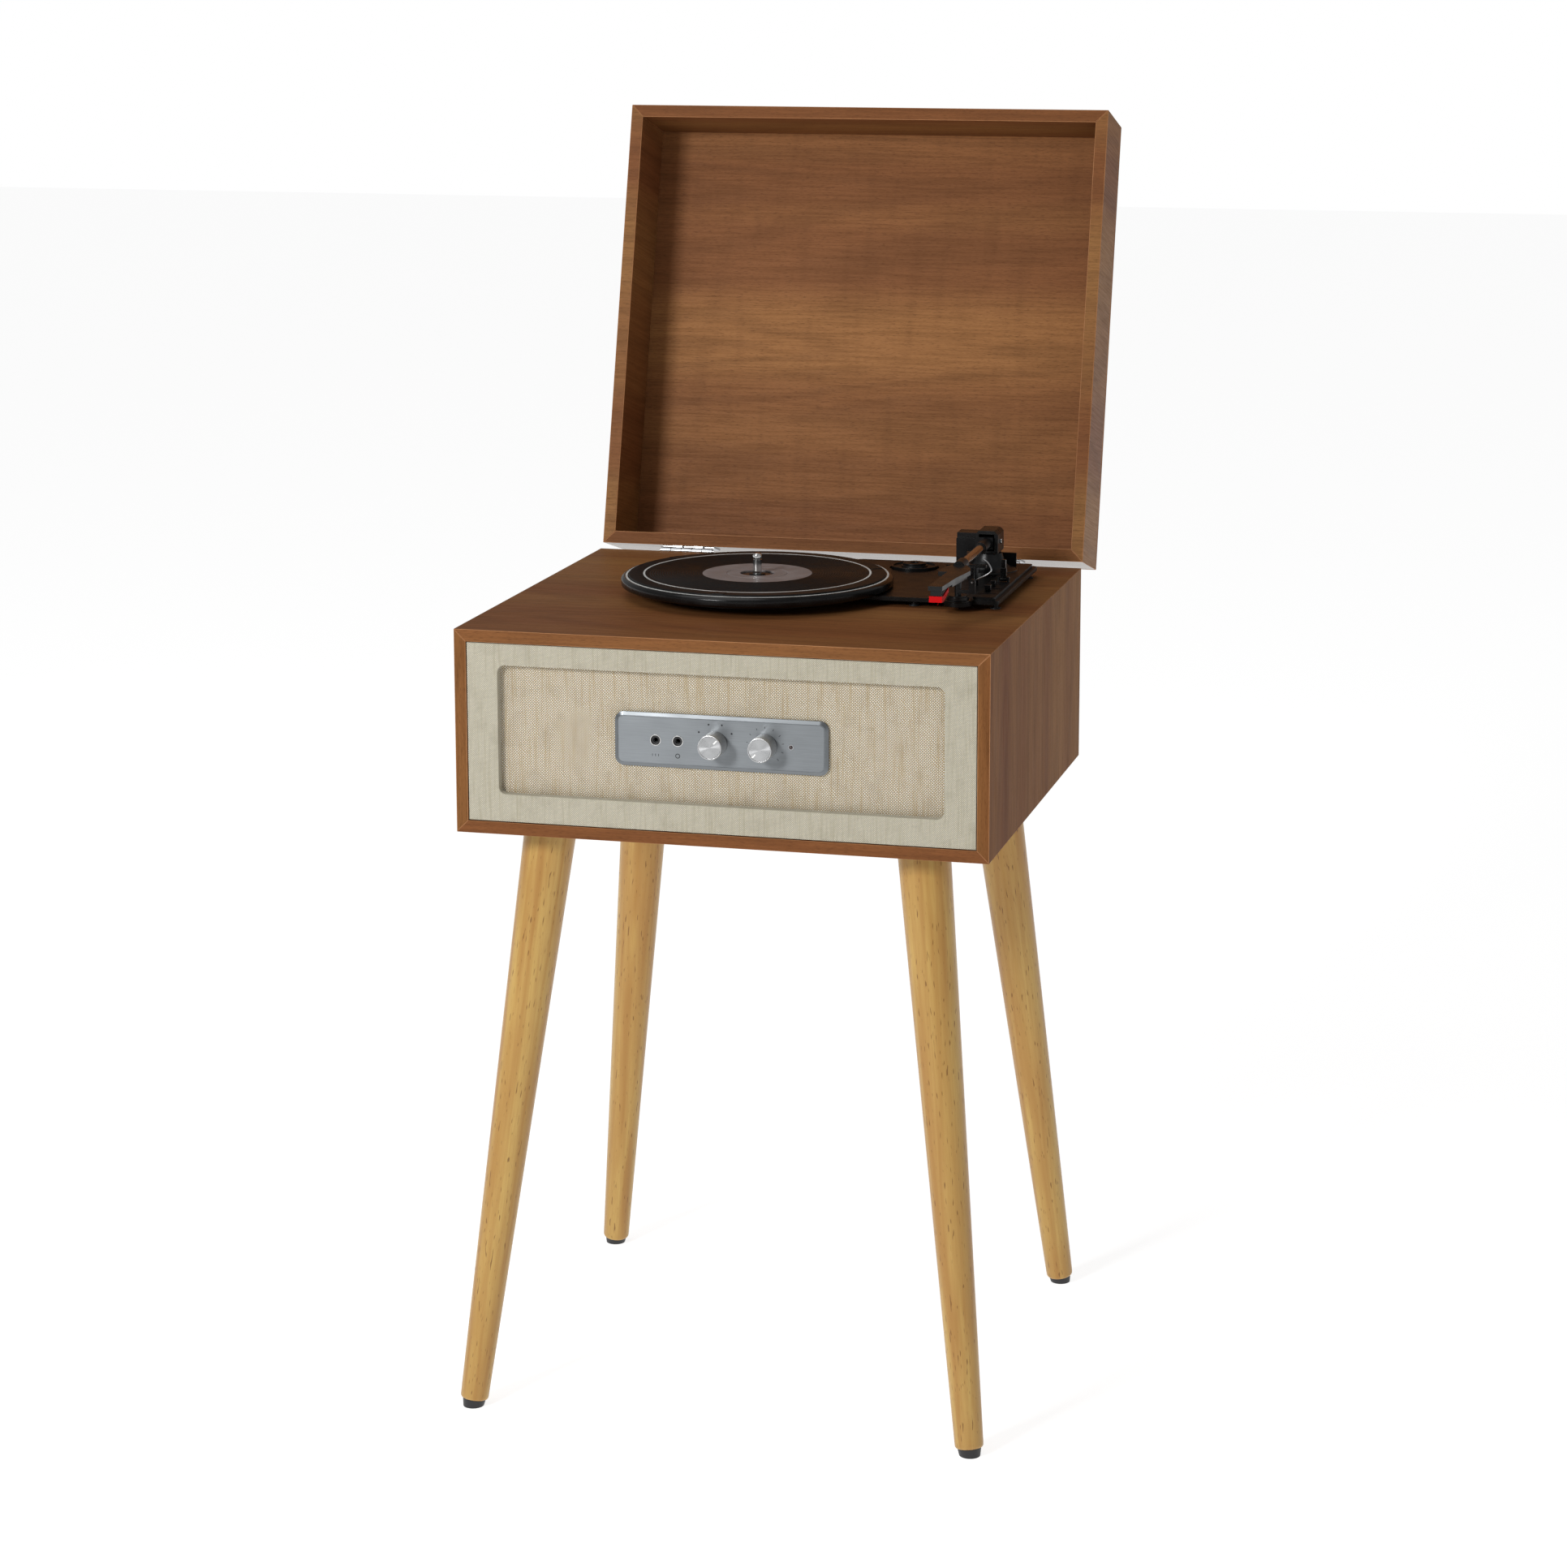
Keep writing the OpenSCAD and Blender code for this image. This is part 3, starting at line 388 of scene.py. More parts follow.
def plain_weave(name, warp, weft, gap, pitch, slub, relief):
    """Plain-woven cloth: each cell shows a warp thread or a weft thread lying on top, with
    painted shade in the gaps between them, slubs along the warp, and a soft sheen from loose
    fibres."""
    material, tree, shader = finish(
        name, Roughness=0.9, Specular_IOR_Level=0.15, Sheen_Weight=0.12, Sheen_Roughness=0.5)
    place = add(tree, "ShaderNodeTexCoord").outputs["Object"]
    along_warp = add(tree, "ShaderNodeMapping", {"vector_type": "TEXTURE"}, {
        "Vector": place, "Scale": (1, 1, 28)})
    wobble, per_thread, patches, specks = (
        add(tree, "ShaderNodeTexNoise", {}, {
            "Vector": vector, "Scale": 1000 / (pitch * size), "Detail": detail})
        for vector, size, detail in ((place, 9, 2.0), (along_warp, 1.6, 1.0),
                                     (place, 14, 3.0), (place, 0.8, 1.0)))
    axes = add(tree, "ShaderNodeSeparateXYZ", {}, {"Vector": place})
    threads = []
    # adding the depth to both directions keeps the weave whole where the cloth turns an edge
    for axis in ("X", "Z"):
        along = add(tree, "ShaderNodeMath", {"operation": "ADD"}, {
            0: axes.outputs[axis], 1: axes.outputs["Y"]})
        threads.append(add(tree, "ShaderNodeMath", {"operation": "MULTIPLY_ADD"}, {
            0: along, 1: 1000 / pitch,
            2: add(tree, "ShaderNodeMath", {"operation": "MULTIPLY"}, {0: wobble, 1: 1.6})}))
    cells = [add(tree, "ShaderNodeMath", {"operation": "FLOOR"}, {0: t}) for t in threads]
    humps = []
    for thread in threads:
        turn = add(tree, "ShaderNodeMath", {"operation": "MULTIPLY"}, {0: thread, 1: math.pi})
        wave = add(tree, "ShaderNodeMath", {"operation": "SINE"}, {0: turn})
        humps.append(add(tree, "ShaderNodeMath", {"operation": "ABSOLUTE"}, {0: wave}))
    parity = add(tree, "ShaderNodeMath", {"operation": "FLOORED_MODULO"}, {
        0: add(tree, "ShaderNodeMath", {"operation": "ADD"}, {0: cells[0], 1: cells[1]}),
        1: 2.0})
    height = add(tree, "ShaderNodeMath", {"operation": "MULTIPLY"}, {
        0: add(tree, "ShaderNodeMath", {"operation": "POWER"}, {0: humps[0], 1: 0.7}),
        1: add(tree, "ShaderNodeMath", {"operation": "POWER"}, {0: humps[1], 1: 0.7})})
    colour = add(tree, "ShaderNodeMix", {"data_type": "RGBA"}, {
        "Factor": parity, "A": warp, "B": weft})
    # painted shade: the gap colour shows where the height is low, so its range runs downwards
    colour = overlaid(tree, colour, (
        (per_thread, 0.5, 0.72, slub, weft), (specks, 0.55, 0.75, slub, weft),
        (patches, 0.5, 0.8, slub * 0.4, gap), (height, 0.62, 0.08, 0.85, gap)))
    wire(tree, shader, {"Base Color": colour, "Normal": add(tree, "ShaderNodeBump", {}, {
        "Height": height, "Strength": 0.9, "Distance": relief * MM})})
    return material


def moulded_plastic(name, colour, roughness, texture=0.5, depth=0.03, coat=0.0,
                    gloss=0.5):
    """Injection-moulded ABS: a fine spark-eroded grain, faint clouds in the gloss."""
    material, tree, shader = finish(
        name, IOR=1.52, Specular_IOR_Level=gloss, Coat_Weight=coat, Coat_Roughness=0.12)
    place = add(tree, "ShaderNodeTexCoord").outputs["Object"]
    grain = add(tree, "ShaderNodeTexNoise", {}, {
        "Vector": place, "Scale": 1000 / texture, "Detail": 2.0})
    clouds = add(tree, "ShaderNodeTexNoise", {}, {
        "Vector": place, "Scale": 1000 / 14, "Detail": 3.0})
    paler = [min(1.0, c * 1.5 + 0.003) for c in colour[:3]] + [1.0]
    wire(tree, shader, {
        "Base Color": overlaid(tree, colour, ((clouds, 0.4, 0.7, 0.6, paler),)),
        "Roughness": add(tree, "ShaderNodeMapRange", {}, {
            "Value": clouds, "From Min": 0.3, "From Max": 0.7,
            "To Min": roughness - 0.05, "To Max": roughness + 0.07}),
        "Normal": add(tree, "ShaderNodeBump", {}, {
            "Height": grain, "Strength": 0.35, "Distance": depth * MM})})
    return material


def worn_metal(name, colour, roughness, streak=(1, 1, 1), mark=0.6, anisotropic=0.0,
               rotation=0.0):
    """Metal with fine tool marks along one direction and faint handling clouds."""
    material, tree, shader = finish(name, Metallic=1.0, Anisotropic=anisotropic,
                                    Anisotropic_Rotation=rotation)
    place = add(tree, "ShaderNodeTexCoord").outputs["Object"]
    marks = add(tree, "ShaderNodeTexNoise", {}, {
        "Vector": add(tree, "ShaderNodeMapping", {"vector_type": "TEXTURE"}, {
            "Vector": place, "Scale": streak}), "Scale": 1000 / mark, "Detail": 3.0,
        "Roughness": 0.65})
    clouds = add(tree, "ShaderNodeTexNoise", {}, {
        "Vector": place, "Scale": 1000 / 20, "Detail": 3.0})
    darker = [c * 0.72 for c in colour[:3]] + [1.0]
    wire(tree, shader, {
        "Base Color": overlaid(tree, colour, ((marks, 0.35, 0.75, 0.5, darker),)),
        "Roughness": add(tree, "ShaderNodeMapRange", {}, {
            "Value": clouds, "From Min": 0.35, "From Max": 0.7,
            "To Min": roughness, "To Max": roughness + 0.08})})
    if anisotropic:
        wire(tree, shader, {"Tangent": add(
            tree, "ShaderNodeTangent", {"direction_type": "UV_MAP", "uv_map": "lay"})})
    else:
        wire(tree, shader, {"Normal": add(tree, "ShaderNodeBump", {}, {
            "Height": marks, "Strength": 0.15, "Distance": 0.02 * MM})})
    return material


def pressed_board(name, colour, fleck, size=1.2, roughness=0.75):
    """Pressed board, card or paper: short tangled fibres and a dull surface."""
    material, tree, shader = finish(name, Roughness=roughness, Specular_IOR_Level=0.25)
    place = add(tree, "ShaderNodeTexCoord").outputs["Object"]
    fibres = add(tree, "ShaderNodeTexNoise", {}, {
        "Vector": place, "Scale": 1000 / size, "Detail": 4.0, "Distortion": 1.5})
    clouds = add(tree, "ShaderNodeTexNoise", {}, {
        "Vector": place, "Scale": 1000 / 40, "Detail": 3.0})
    wire(tree, shader, {
        "Base Color": overlaid(tree, colour, (
            (clouds, 0.35, 0.7, 0.5, fleck), (fibres, 0.5, 0.7, 0.6, fleck))),
        "Normal": add(tree, "ShaderNodeBump", {}, {
            "Height": fibres, "Strength": 0.4, "Distance": 0.08 * MM})})
    return material


FINISHES = {}


def make_finishes(colours, sizes):
    """One finish for each real material of the console, made once."""
    if FINISHES:
        return FINISHES
    foil, red, dark, lid_gold_painted_light, amber = (tuple(c) + (1.0,) for c in (
        colours.foil_light, colours.foil_red, colours.foil_dark,
        colours.lid_light, colours.lid_red))
    FINISHES.update({
        "foil_along_x": walnut_foil("walnut_foil_long_grain", foil, red, dark, seed=0.31),
        # the side boards take a darker copy of the foil: painted shade on the upright faces
        "foil_upright_painted_shade": walnut_foil("walnut_foil_upright_grain", linear("#8A6039"),
                                    linear("#76492A"), dark,
                                    (False, False, True), seed=1.7, gloss=0.015),
        # the lid panel takes a paler, golden copy of the foil: its extra paleness is painted
        # light falling on the lid
        "foil_lid": walnut_foil("walnut_foil_lid", lid_gold_painted_light, amber, dark,
                                turn=-LID_OPEN, seed=2.3, ripple=0.12),
        "foil_lid_rail": walnut_foil("walnut_foil_lid_rails", foil, red, dark,
                                     turn=-LID_OPEN, seed=4.4),
        # seen edge-on against the bright floor: its grey tone is a painted reflection of the
        # floor, and it is a little glossier
        "foil_lid_under_painted_reflection": walnut_foil("walnut_foil_lid_under", linear("#A59B92"),
                                      linear("#9A9087"), linear("#7F766E"), seed=5.2,
                                      gloss=0.5, roughness=0.3),
        "foil_lid_side": walnut_foil("walnut_foil_lid_sides", foil, red, dark,
                                     (True, False, True), turn=-LID_OPEN, seed=3.9,
                                     gloss=0.08),
        # a paler copy of the foil on the bevelled folded edges: a painted highlight along them
        "foil_fold_painted_highlight": walnut_foil("walnut_foil_fold", linear("#C08C62"), linear("#A87750"),
                                 linear("#8A5C3C"), seed=0.9),
        "leg_wood": varnished_rubberwood("varnished_rubberwood", tuple(colours.leg) + (1.0,),
                                         linear("#AC7F40"), linear("#6A4019")),
        # each weave's third colour is painted shade in the gaps between its threads
        "linen": plain_weave("fine_linen", linear("#E8E4D6"), linear("#BFB79F"),
                             linear("#857D68"), sizes.linen_pitch / MM, 0.6, 0.3),
        "weave": plain_weave("coarse_grille_weave", linear("#FFFEF6"), linear("#C9B184"),
                             linear("#6E5B3A"), sizes.weave_pitch / MM, 0.5, 0.5),
        "fibreboard": pressed_board("stained_fibreboard", linear("#3C2C22"),
                                    linear("#57412F")),
        "particle": pressed_board("raw_particle_board", linear("#8E7350"), linear("#5D4528"),
                                  3.0),
        "cone": pressed_board("black_cone_paper", linear("#1C1C1C"), linear("#303030"), 0.8),
    })
    for kind, rows in (
            # roughness, size and depth of the grain, clear coat, gloss
            (moulded_plastic, (
                ("pointer", "white_pointer_paint", "#F2F2EE", 0.5),
                ("ink", "black_printing_ink", "#1B1C1E", 0.6),
                ("deck", "satin_black_abs", "#0A0909", 0.34, 0.6, 0.02, 0.0, 0.2),
                ("gloss", "gloss_black_abs", "#070606", 0.22, 1.4, 0.01, 0.12, 0.22),
                ("arm", "fine_black_abs", "#070708", 0.3, 0.5, 0.02, 0.0, 0.3),
                ("socket", "black_nylon", "#101012", 0.45, 0.5, 0.03),
                ("glide", "black_polyethylene", "#18181A", 0.5, 0.8, 0.05),
                ("rubber", "ribbed_rubber", "#090909", 0.45, 0.4, 0.03, 0.0, 0.2),
                ("belt", "belt_rubber", "#0E0E0E", 0.7, 0.3, 0.03),
                ("label", "printed_label_card", "#797170", 0.45, 0.9, 0.02),
                ("stylus", "red_translucent_plastic", "#C40006", 0.5, 0.9, 0.02, 0.0, 0.08),
                ("lens", "smoked_lamp_lens", "#2A1513", 0.2, 0.9, 0.01, 0.5),
                ("silver", "silver_printed_line", "#C4C6C4", 0.35, 0.8, 0.01),
                ("circuit", "green_circuit_board", "#1F5A34", 0.35))),
            # roughness, direction and size of the tool marks, anisotropy and its turn
            (worn_metal, (
                ("plate", "brushed_aluminium", "#7F8386", 0.36, (40, 1, 1), 0.7, 0.7, 0.25),
                ("knob", "spun_aluminium", "#B4B5B6", 0.2, (1, 1, 1), 9, 0.92),
                ("knob_side", "turned_aluminium", "#DCDCDC", 0.4, (1, 12, 1), 0.6),
                ("chrome", "bright_chrome", "#E6E6E4", 0.07, (1, 1, 1), 2.0),
                ("tube", "chromed_tube", "#D9D2CC", 0.1, (1, 1, 1), 2.0),
                ("zinc", "zinc_plated_steel", "#B4B6B8", 0.32, (1, 1, 1), 1.2),
                ("steel", "black_enamelled_steel", "#4A4A4D", 0.45, (1, 1, 1), 1.5),
                ("brass", "turned_brass", "#C7A557", 0.25, (1, 1, 1), 1.0)))):
        for key, name, colour, *settings in rows:
            FINISHES[key] = kind(name, linear(colour), *settings)
    return FINISHES


# ---------------------------------------------------------------- settings

def colour_setting(name, description, hex_colour):
    return FloatVectorProperty(name=name, description=description, subtype="COLOR", size=3,
                               min=0.0, max=1.0, default=linear(hex_colour)[:3])


class ConsoleColours(bpy.types.PropertyGroup):
    """Colours of the console's main finishes"""
    foil_light: colour_setting("Foil, pale", "Palest tone of the walnut foil", "#94683D")
    foil_red: colour_setting("Foil, red", "Redder plank tone of the walnut foil", "#7F502F")
    foil_dark: colour_setting("Foil, dark", "Pores and dark fibres of the foil", "#4A2D1A")
    # the lid's tones are paler than the cabinet's: painted light on the lid panel
    lid_light: colour_setting("Lid, pale", "Palest tone of the lid's foil", "#A37145")
    lid_red: colour_setting("Lid, red", "Redder plank tone of the lid's foil", "#8A5A38")
    leg: colour_setting("Legs", "Palest tone of the varnished legs", "#C39F59")


class ConsoleSizes(bpy.types.PropertyGroup):
    """Sizes of the console's fine details"""
    weave_pitch: FloatProperty(name="Grille thread", description="Width of one thread of "
                               "the grille cloth", default=1.05 * MM, unit="LENGTH")
    linen_pitch: FloatProperty(name="Linen thread", description="Width of one thread of "
                               "the linen, drawn twice as coarse as real to show",
                               default=0.75 * MM, unit="LENGTH")
    linen_roll: FloatProperty(name="Linen edge", description="Radius of the padded edges "
                              "of the linen frame", default=4.2 * MM, unit="LENGTH")
    board_ease: FloatProperty(name="Board edge", description="Radius of the boards' folded "
                              "edges", default=0.45 * MM, unit="LENGTH")
    mat_groove: FloatProperty(name="Mat groove", description="Distance between the mat's "
                              "grooves", default=2.0 * MM, unit="LENGTH")
    mark_width: FloatProperty(name="Plate mark", description="Width of the ticks printed on "
                              "the control plate", default=0.45 * MM, unit="LENGTH")


class ConsoleOperator:
    """What the operators share: each builds its pieces from the finishes and the sizes"""
    bl_options = {"REGISTER", "UNDO"}

    def execute(self, context):
        sizes = context.scene.console_sizes
        self.build(make_finishes(context.scene.console_colours, sizes), sizes)
        return {"FINISHED"}


# ---------------------------------------------------------------- cabinet

class CONSOLE_OT_cabinet(ConsoleOperator, bpy.types.Operator):
    """Four foil-wrapped boards with mitred corners"""
    bl_idname = "console.cabinet"
    bl_label = "Cabinet boards"

    def build(self, made, sizes):
        ease = sizes.board_ease / MM
        for node, grain in (("top_panel", "foil_along_x"), ("bottom_panel", "foil_along_x"),
                            ("left_panel", "foil_upright_painted_shade"), ("right_panel", "foil_upright_painted_shade")):
            # the bevel faces of each board take the paler foil, a painted highlight along its
            # edges
            eased(f"{node}_board", node, [made[grain], made["foil_fold_painted_highlight"]], "cabinet_veneer",
                  width=ease, edge_finish=1)


class CONSOLE_OT_lid(ConsoleOperator, bpy.types.Operator):
    """Lid panel and its four mitred rails"""
    bl_idname = "console.lid"
    bl_label = "Lid"

    def build(self, made, sizes):
        ease = sizes.board_ease / MM
        for node, grain in (("lid_panel", "foil_lid"), ("lid_front_rail", "foil_lid_rail"),
                            ("lid_back_rail", "foil_lid_rail"),
                            ("lid_left_rail", "foil_lid_side"),
                            ("lid_right_rail", "foil_lid_side")):
            # the bevel faces of each lid board take the paler foil, a painted highlight along
            # its edges
            board = eased(f"{node}_board", node, [
                made[grain], made["foil_fold_painted_highlight"], made["foil_lid_under_painted_reflection"]], "lid_veneer",
                "lid", width=ease, edge_finish=1)
            # the back rail's underside takes the grey finish, a painted reflection of the
            # bright floor
            if node == "lid_back_rail":
                for face in board.data.polygons:
                    if face.normal.z < -0.9 and face.material_index == 0:
                        face.material_index = 2


LEG_TOP_X, LEG_SPLAY_X, LEG_SPLAY_Y = 149.0, 52.0, 60.0
LEG_TOP_Y = {"front": 50.0, "back": 318.0}


class CONSOLE_OT_legs(ConsoleOperator, bpy.types.Operator):
    """Four turned legs, their steel plates, bolts and plastic glides"""
    bl_idname = "console.legs"
    bl_label = "Legs"

    def build(self, made, sizes):
        height = floor_z / MM
        for end in ("front", "back"):
            for side in ("left", "right"):
                out_x = -1 if side == "left" else 1
                out_y = -1 if end == "front" else 1
                top = on_front(out_x * LEG_TOP_X, LEG_TOP_Y[end], 0)
                foot = top + Vector((out_x * LEG_SPLAY_X * MM, out_y * LEG_SPLAY_Y * MM,
                                     -floor_z))
                axis = (top - foot).normalized()
                length = (top - foot).length / MM
                start = 6 / axis.z
                bm = lathe([(0, start), (9.4, start), (10.4, start + 0.5),
                            (11.0, start + 1.5), (11.15, start + 3)]
                           + [(11.15 + 9.65 * t / 8, start + 3 + (length + 5 - start) * t / 8)
                              for t in range(1, 9)] + [(0, length + 8)])
                grain = bm.verts.layers.float_vector.new("grain")
                for vert in bm.verts:
                    vert[grain] = vert.co + Vector((0.3 * out_x, 0.2 * out_y, 0.7 * out_x))
                turned = axis.to_track_quat("Z", "Y").to_matrix().to_4x4()
                bmesh.ops.transform(bm, matrix=Matrix.Translation(foot) @ turned,
                                    verts=bm.verts)
                cut = bmesh.ops.bisect_plane(
                    bm, geom=bm.verts[:] + bm.edges[:] + bm.faces[:],
                    plane_co=(0, 0, floor_z - 2 * MM), plane_no=(0, 0, 1), clear_outer=True)
                bmesh.ops.edgeloop_fill(bm, edges=[
                    e for e in cut["geom_cut"] if isinstance(e, bmesh.types.BMEdge)])
                node = f"leg_{end}_{side}"
                piece(f"{node}_turned", bm, made["leg_wood"], nodes=(node,))
        screws = []
        for out_x in (-1, 1):
            for top_y in LEG_TOP_Y.values():
                for x in (-23, 23):
                    for y in (-23, 23):
                        place = Matrix.Translation(
                            on_front(out_x * LEG_TOP_X + x, top_y + y, -2))
                        screws.append(lathe(
                            [(0, 0.6), (1.1, 0.6), (1.2, -0.7), (3.0, -1.2), (3.9, -0.2),
                             (3.9, 0.6)], place, 24))
        eased("leg_plates_pressed", "leg_plates", made["steel"], "leg_steel", width=0.3)
        piece("leg_plate_screws", screws, made["zinc"])
        eased("foot_glides_moulded", "foot_glides", made["glide"], "glide_plastic", width=0.7,
              segments=3)


# ---------------------------------------------------------------- front

class CONSOLE_OT_grille(ConsoleOperator, bpy.types.Operator):
    """Linen-covered frame and the coarse grille cloth behind it"""
    bl_idname = "console.grille"
    bl_label = "Grille"

    def build(self, made, sizes):
        frame_piece = eased("linen_frame", "grille_frame", made["linen"], "frame_linen",
                            width=sizes.linen_roll / MM, segments=5, fold=60)

        low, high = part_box("grille_cloth")
        columns, rows = 96, 32
        bm = bmesh.new()
        middle = (low + high) / 2
        bmesh.ops.create_grid(
            bm, x_segments=columns, y_segments=rows, size=0.5,
            matrix=Matrix.Translation((middle.x, low.y + 0.5 * MM, middle.z))
            @ Matrix.Rotation(math.radians(90), 4, "X")
            @ Matrix.Diagonal((high.x - low.x, high.z - low.z, 1, 1)))
        for vert in bm.verts:
            vert.co.y += 0.25 * MM * noise.noise(vert.co * 22)
        window = [f for f in bm.faces
                  if abs(f.calc_center_median().x) < 60 * MM
                  and abs(f.calc_center_median().z - floor_z - PLATE_HEIGHT * MM) < 13 * MM]
        bmesh.ops.delete(bm, geom=window, context="FACES")
        cloth = piece("grille_cloth_woven", bm, made["weave"], nodes=("grille_cloth",))
        thick = cloth.modifiers.new("cloth_thickness", "SOLIDIFY")
        thick.thickness = 0.6 * MM
        thick.offset = 0


class CONSOLE_OT_control_plate(ConsoleOperator, bpy.types.Operator):
    """Brushed control plate with its printed marks, sockets and lamp"""
    bl_idname = "console.control_plate"
    bl_label = "Control plate"

    def build(self, made, sizes):
        # a plate with a wide sloped border, and a fine line inside the border
        bm = block(168, 42, 1.9, Matrix.Rotation(math.radians(180), 4, "X"), corner=7)
        bmesh.ops.translate(bm, vec=(0, 0, 3 * MM), verts=bm.verts)
        face = min(bm.faces, key=lambda f: f.calc_center_median().z)
        for inset, step in ((2.6, 1.1), (0.12, -0.25), (0.4, 0.0), (0.12, 0.25)):
            bmesh.ops.inset_region(bm, faces=[face], thickness=inset * MM, depth=step * MM,
                                   use_even_offset=True)
        bmesh.ops.transform(bm, matrix=facing(1, PLATE_FRONT, PLATE_HEIGHT), verts=bm.verts)
        for x, radius in (*((jack, SOCKET_BORE) for jack in JACKS), (LAMP, LAMP_BORE)):
            bm = bored(bm, lathe([(0, -4), (radius, -4), (radius, 8), (0, 8)],
                                 facing(x, PLATE_FRONT, PLATE_HEIGHT), 48))
        plate = piece("control_plate_brushed", bm, made["plate"], nodes=("control_plate",),
                      angle=20)
        flat_uv(plate, Vector((1, 0, 0)), Vector((0, 0, 1)))

        width = sizes.mark_width / MM
        marks = []

        def tick(x, z, tall, turn=0.0):
            place = facing(x, MARK_FRONT, PLATE_HEIGHT + z) @ Matrix.Rotation(
                math.radians(turn), 4, "Z")
            marks.append(block(width, tall, 0.1, place, corner=width / 2.5))

        def dot(x, z, radius):
            marks.append(lathe([(0, 0.1), (radius, 0.1), (radius, 0), (0, 0)],
                               facing(x, MARK_FRONT, PLATE_HEIGHT + z), 20))

        mode_x, volume_x = KNOBS["mode_knob"][0], KNOBS["volume_knob"][0]
        for turn in (-58, -20, 20, 58):
            reach = 15.2
            dot(mode_x + reach * math.sin(math.radians(turn)),
                reach * math.cos(math.radians(turn)), 0.75)
        for step in range(11):
            turn = -135 + 27 * step
            reach = 14.2
            tick(volume_x + reach * math.sin(math.radians(turn)),
                 reach * math.cos(math.radians(turn)), 1.1 + 0.09 * step, turn)
        for shift in (-2.4, 0, 2.4):
            tick(JACKS[0] + shift, -11.5, 2.0)
        marks.append(lathe([(1.3, 0.1), (1.9, 0.1), (1.9, 0), (1.3, 0)],
                           facing(JACKS[1], MARK_FRONT, PLATE_HEIGHT - 11.5), 24))
        piece("plate_marks", marks, made["ink"])

        rims, wells = [], []
        for x in JACKS:
            rims.append(lathe([(3.75, 1.5), (3.75, 0.15), (3.85, 0.05), (4.15, 0.05),
                               (4.25, 0.15), (4.25, 0.9)], facing(x, 4.7, PLATE_HEIGHT)))
            wells.append(lathe([(0, 12), (1.75, 12), (1.75, 1.4), (2.1, 1.0), (3.1, 0.8),
                                (3.35, 0.35), (3.75, 0.35), (3.75, 12)],
                               facing(x, 4.5, PLATE_HEIGHT)))
            wells.append(painted(lathe([(1.5, 3.2), (1.8, 2.6), (1.8, 3.6), (1.5, 3.6)],
                                       facing(x, 4.5, PLATE_HEIGHT), 32), 1))
            wells.append(block(12, 12, 9, facing(x, 16.5, PLATE_HEIGHT), ease=0.4))
        piece("socket_wells", wells, [made["socket"], made["zinc"]],
              nodes=("audio_jacks",))
        piece("socket_rims", rims, made["chrome"])
        lamp = facing(LAMP, 4.4, PLATE_HEIGHT)
        piece("lamp_lens", lathe([(0, 0.05), (0.7, 0.15), (1.2, 0.5), (1.35, 1.0),
                                  (1.35, 10), (0, 10)], lamp, 32),
              made["lens"], nodes=("power_led",))
        piece("lamp_collar", lathe([(1.4, 0.7), (1.5, 0.4), (2.0, 0.4), (2.2, 0.7)],
                                   lamp, 40), made["zinc"])


class CONSOLE_OT_knobs(ConsoleOperator, bpy.types.Operator):
    """Two turned knobs with spun faces and a pointer line"""
    bl_idname = "console.knobs"
    bl_label = "Knobs"

    def build(self, made, sizes):
        for node, (x, pointer) in KNOBS.items():
            place = facing(x, KNOB_FRONT, PLATE_HEIGHT)
            face = lathe([(0, 0.3), (8.3, 0.3), (8.45, 0.12), (8.6, 0.0), (9.0, 0.0),
                          (9.35, 0.15), (9.5, 0.5)], place, 128)
            side = painted(lathe([(9.5, 0.5), (9.5, 15.7), (9.2, 16.3), (3.0, 16.3),
                                  (3.0, 36), (0, 36)], place, 128), 1)
            line = Matrix.Rotation(math.radians(-pointer), 4, "Z")
            mark = painted(block(1.1, 3.9, 0.35, place @ line @ Matrix.Translation(
                (0, -6.3 * MM, 0.05 * MM)), corner=0.5), 2)
            knob = piece(f"{node}_turned", [face, side, mark],
                         [made["knob"], made["knob_side"], made["pointer"]], node, (node,),
                         angle=40)
            turning_uv(knob, on_front(x, KNOB_FRONT, PLATE_HEIGHT), Vector((0, 1, 0)))


# ---------------------------------------------------------------- turntable

class CONSOLE_OT_deck(ConsoleOperator, bpy.types.Operator):
    """Deck plate with its ribs, its feet and the 45 rpm adapter; the motor and belt keep their
    imported shapes
    """
    bl_idname = "console.deck"
    bl_label = "Deck"

    def build(self, made, sizes):
        # a raised pad with two ribs beside the control strip
        ribs = [block(15.4, 1.2, 0.5, Matrix.Translation(on_top(169, y, 10.5)), ease=0.15)
                for y in (190, 213, 235)]
        eased("deck_plate_moulded", "deck_plate", made["deck"], "deck_plastic", width=0.7,
              segments=3, extra=ribs)
        eased_each(made, (
            ("deck_feet", "moulded", "glide", "glide_plastic", "console", 0.4),
            ("adapter_45", "moulded", "deck", "deck_plastic", "adapter", 0.4, 3)))


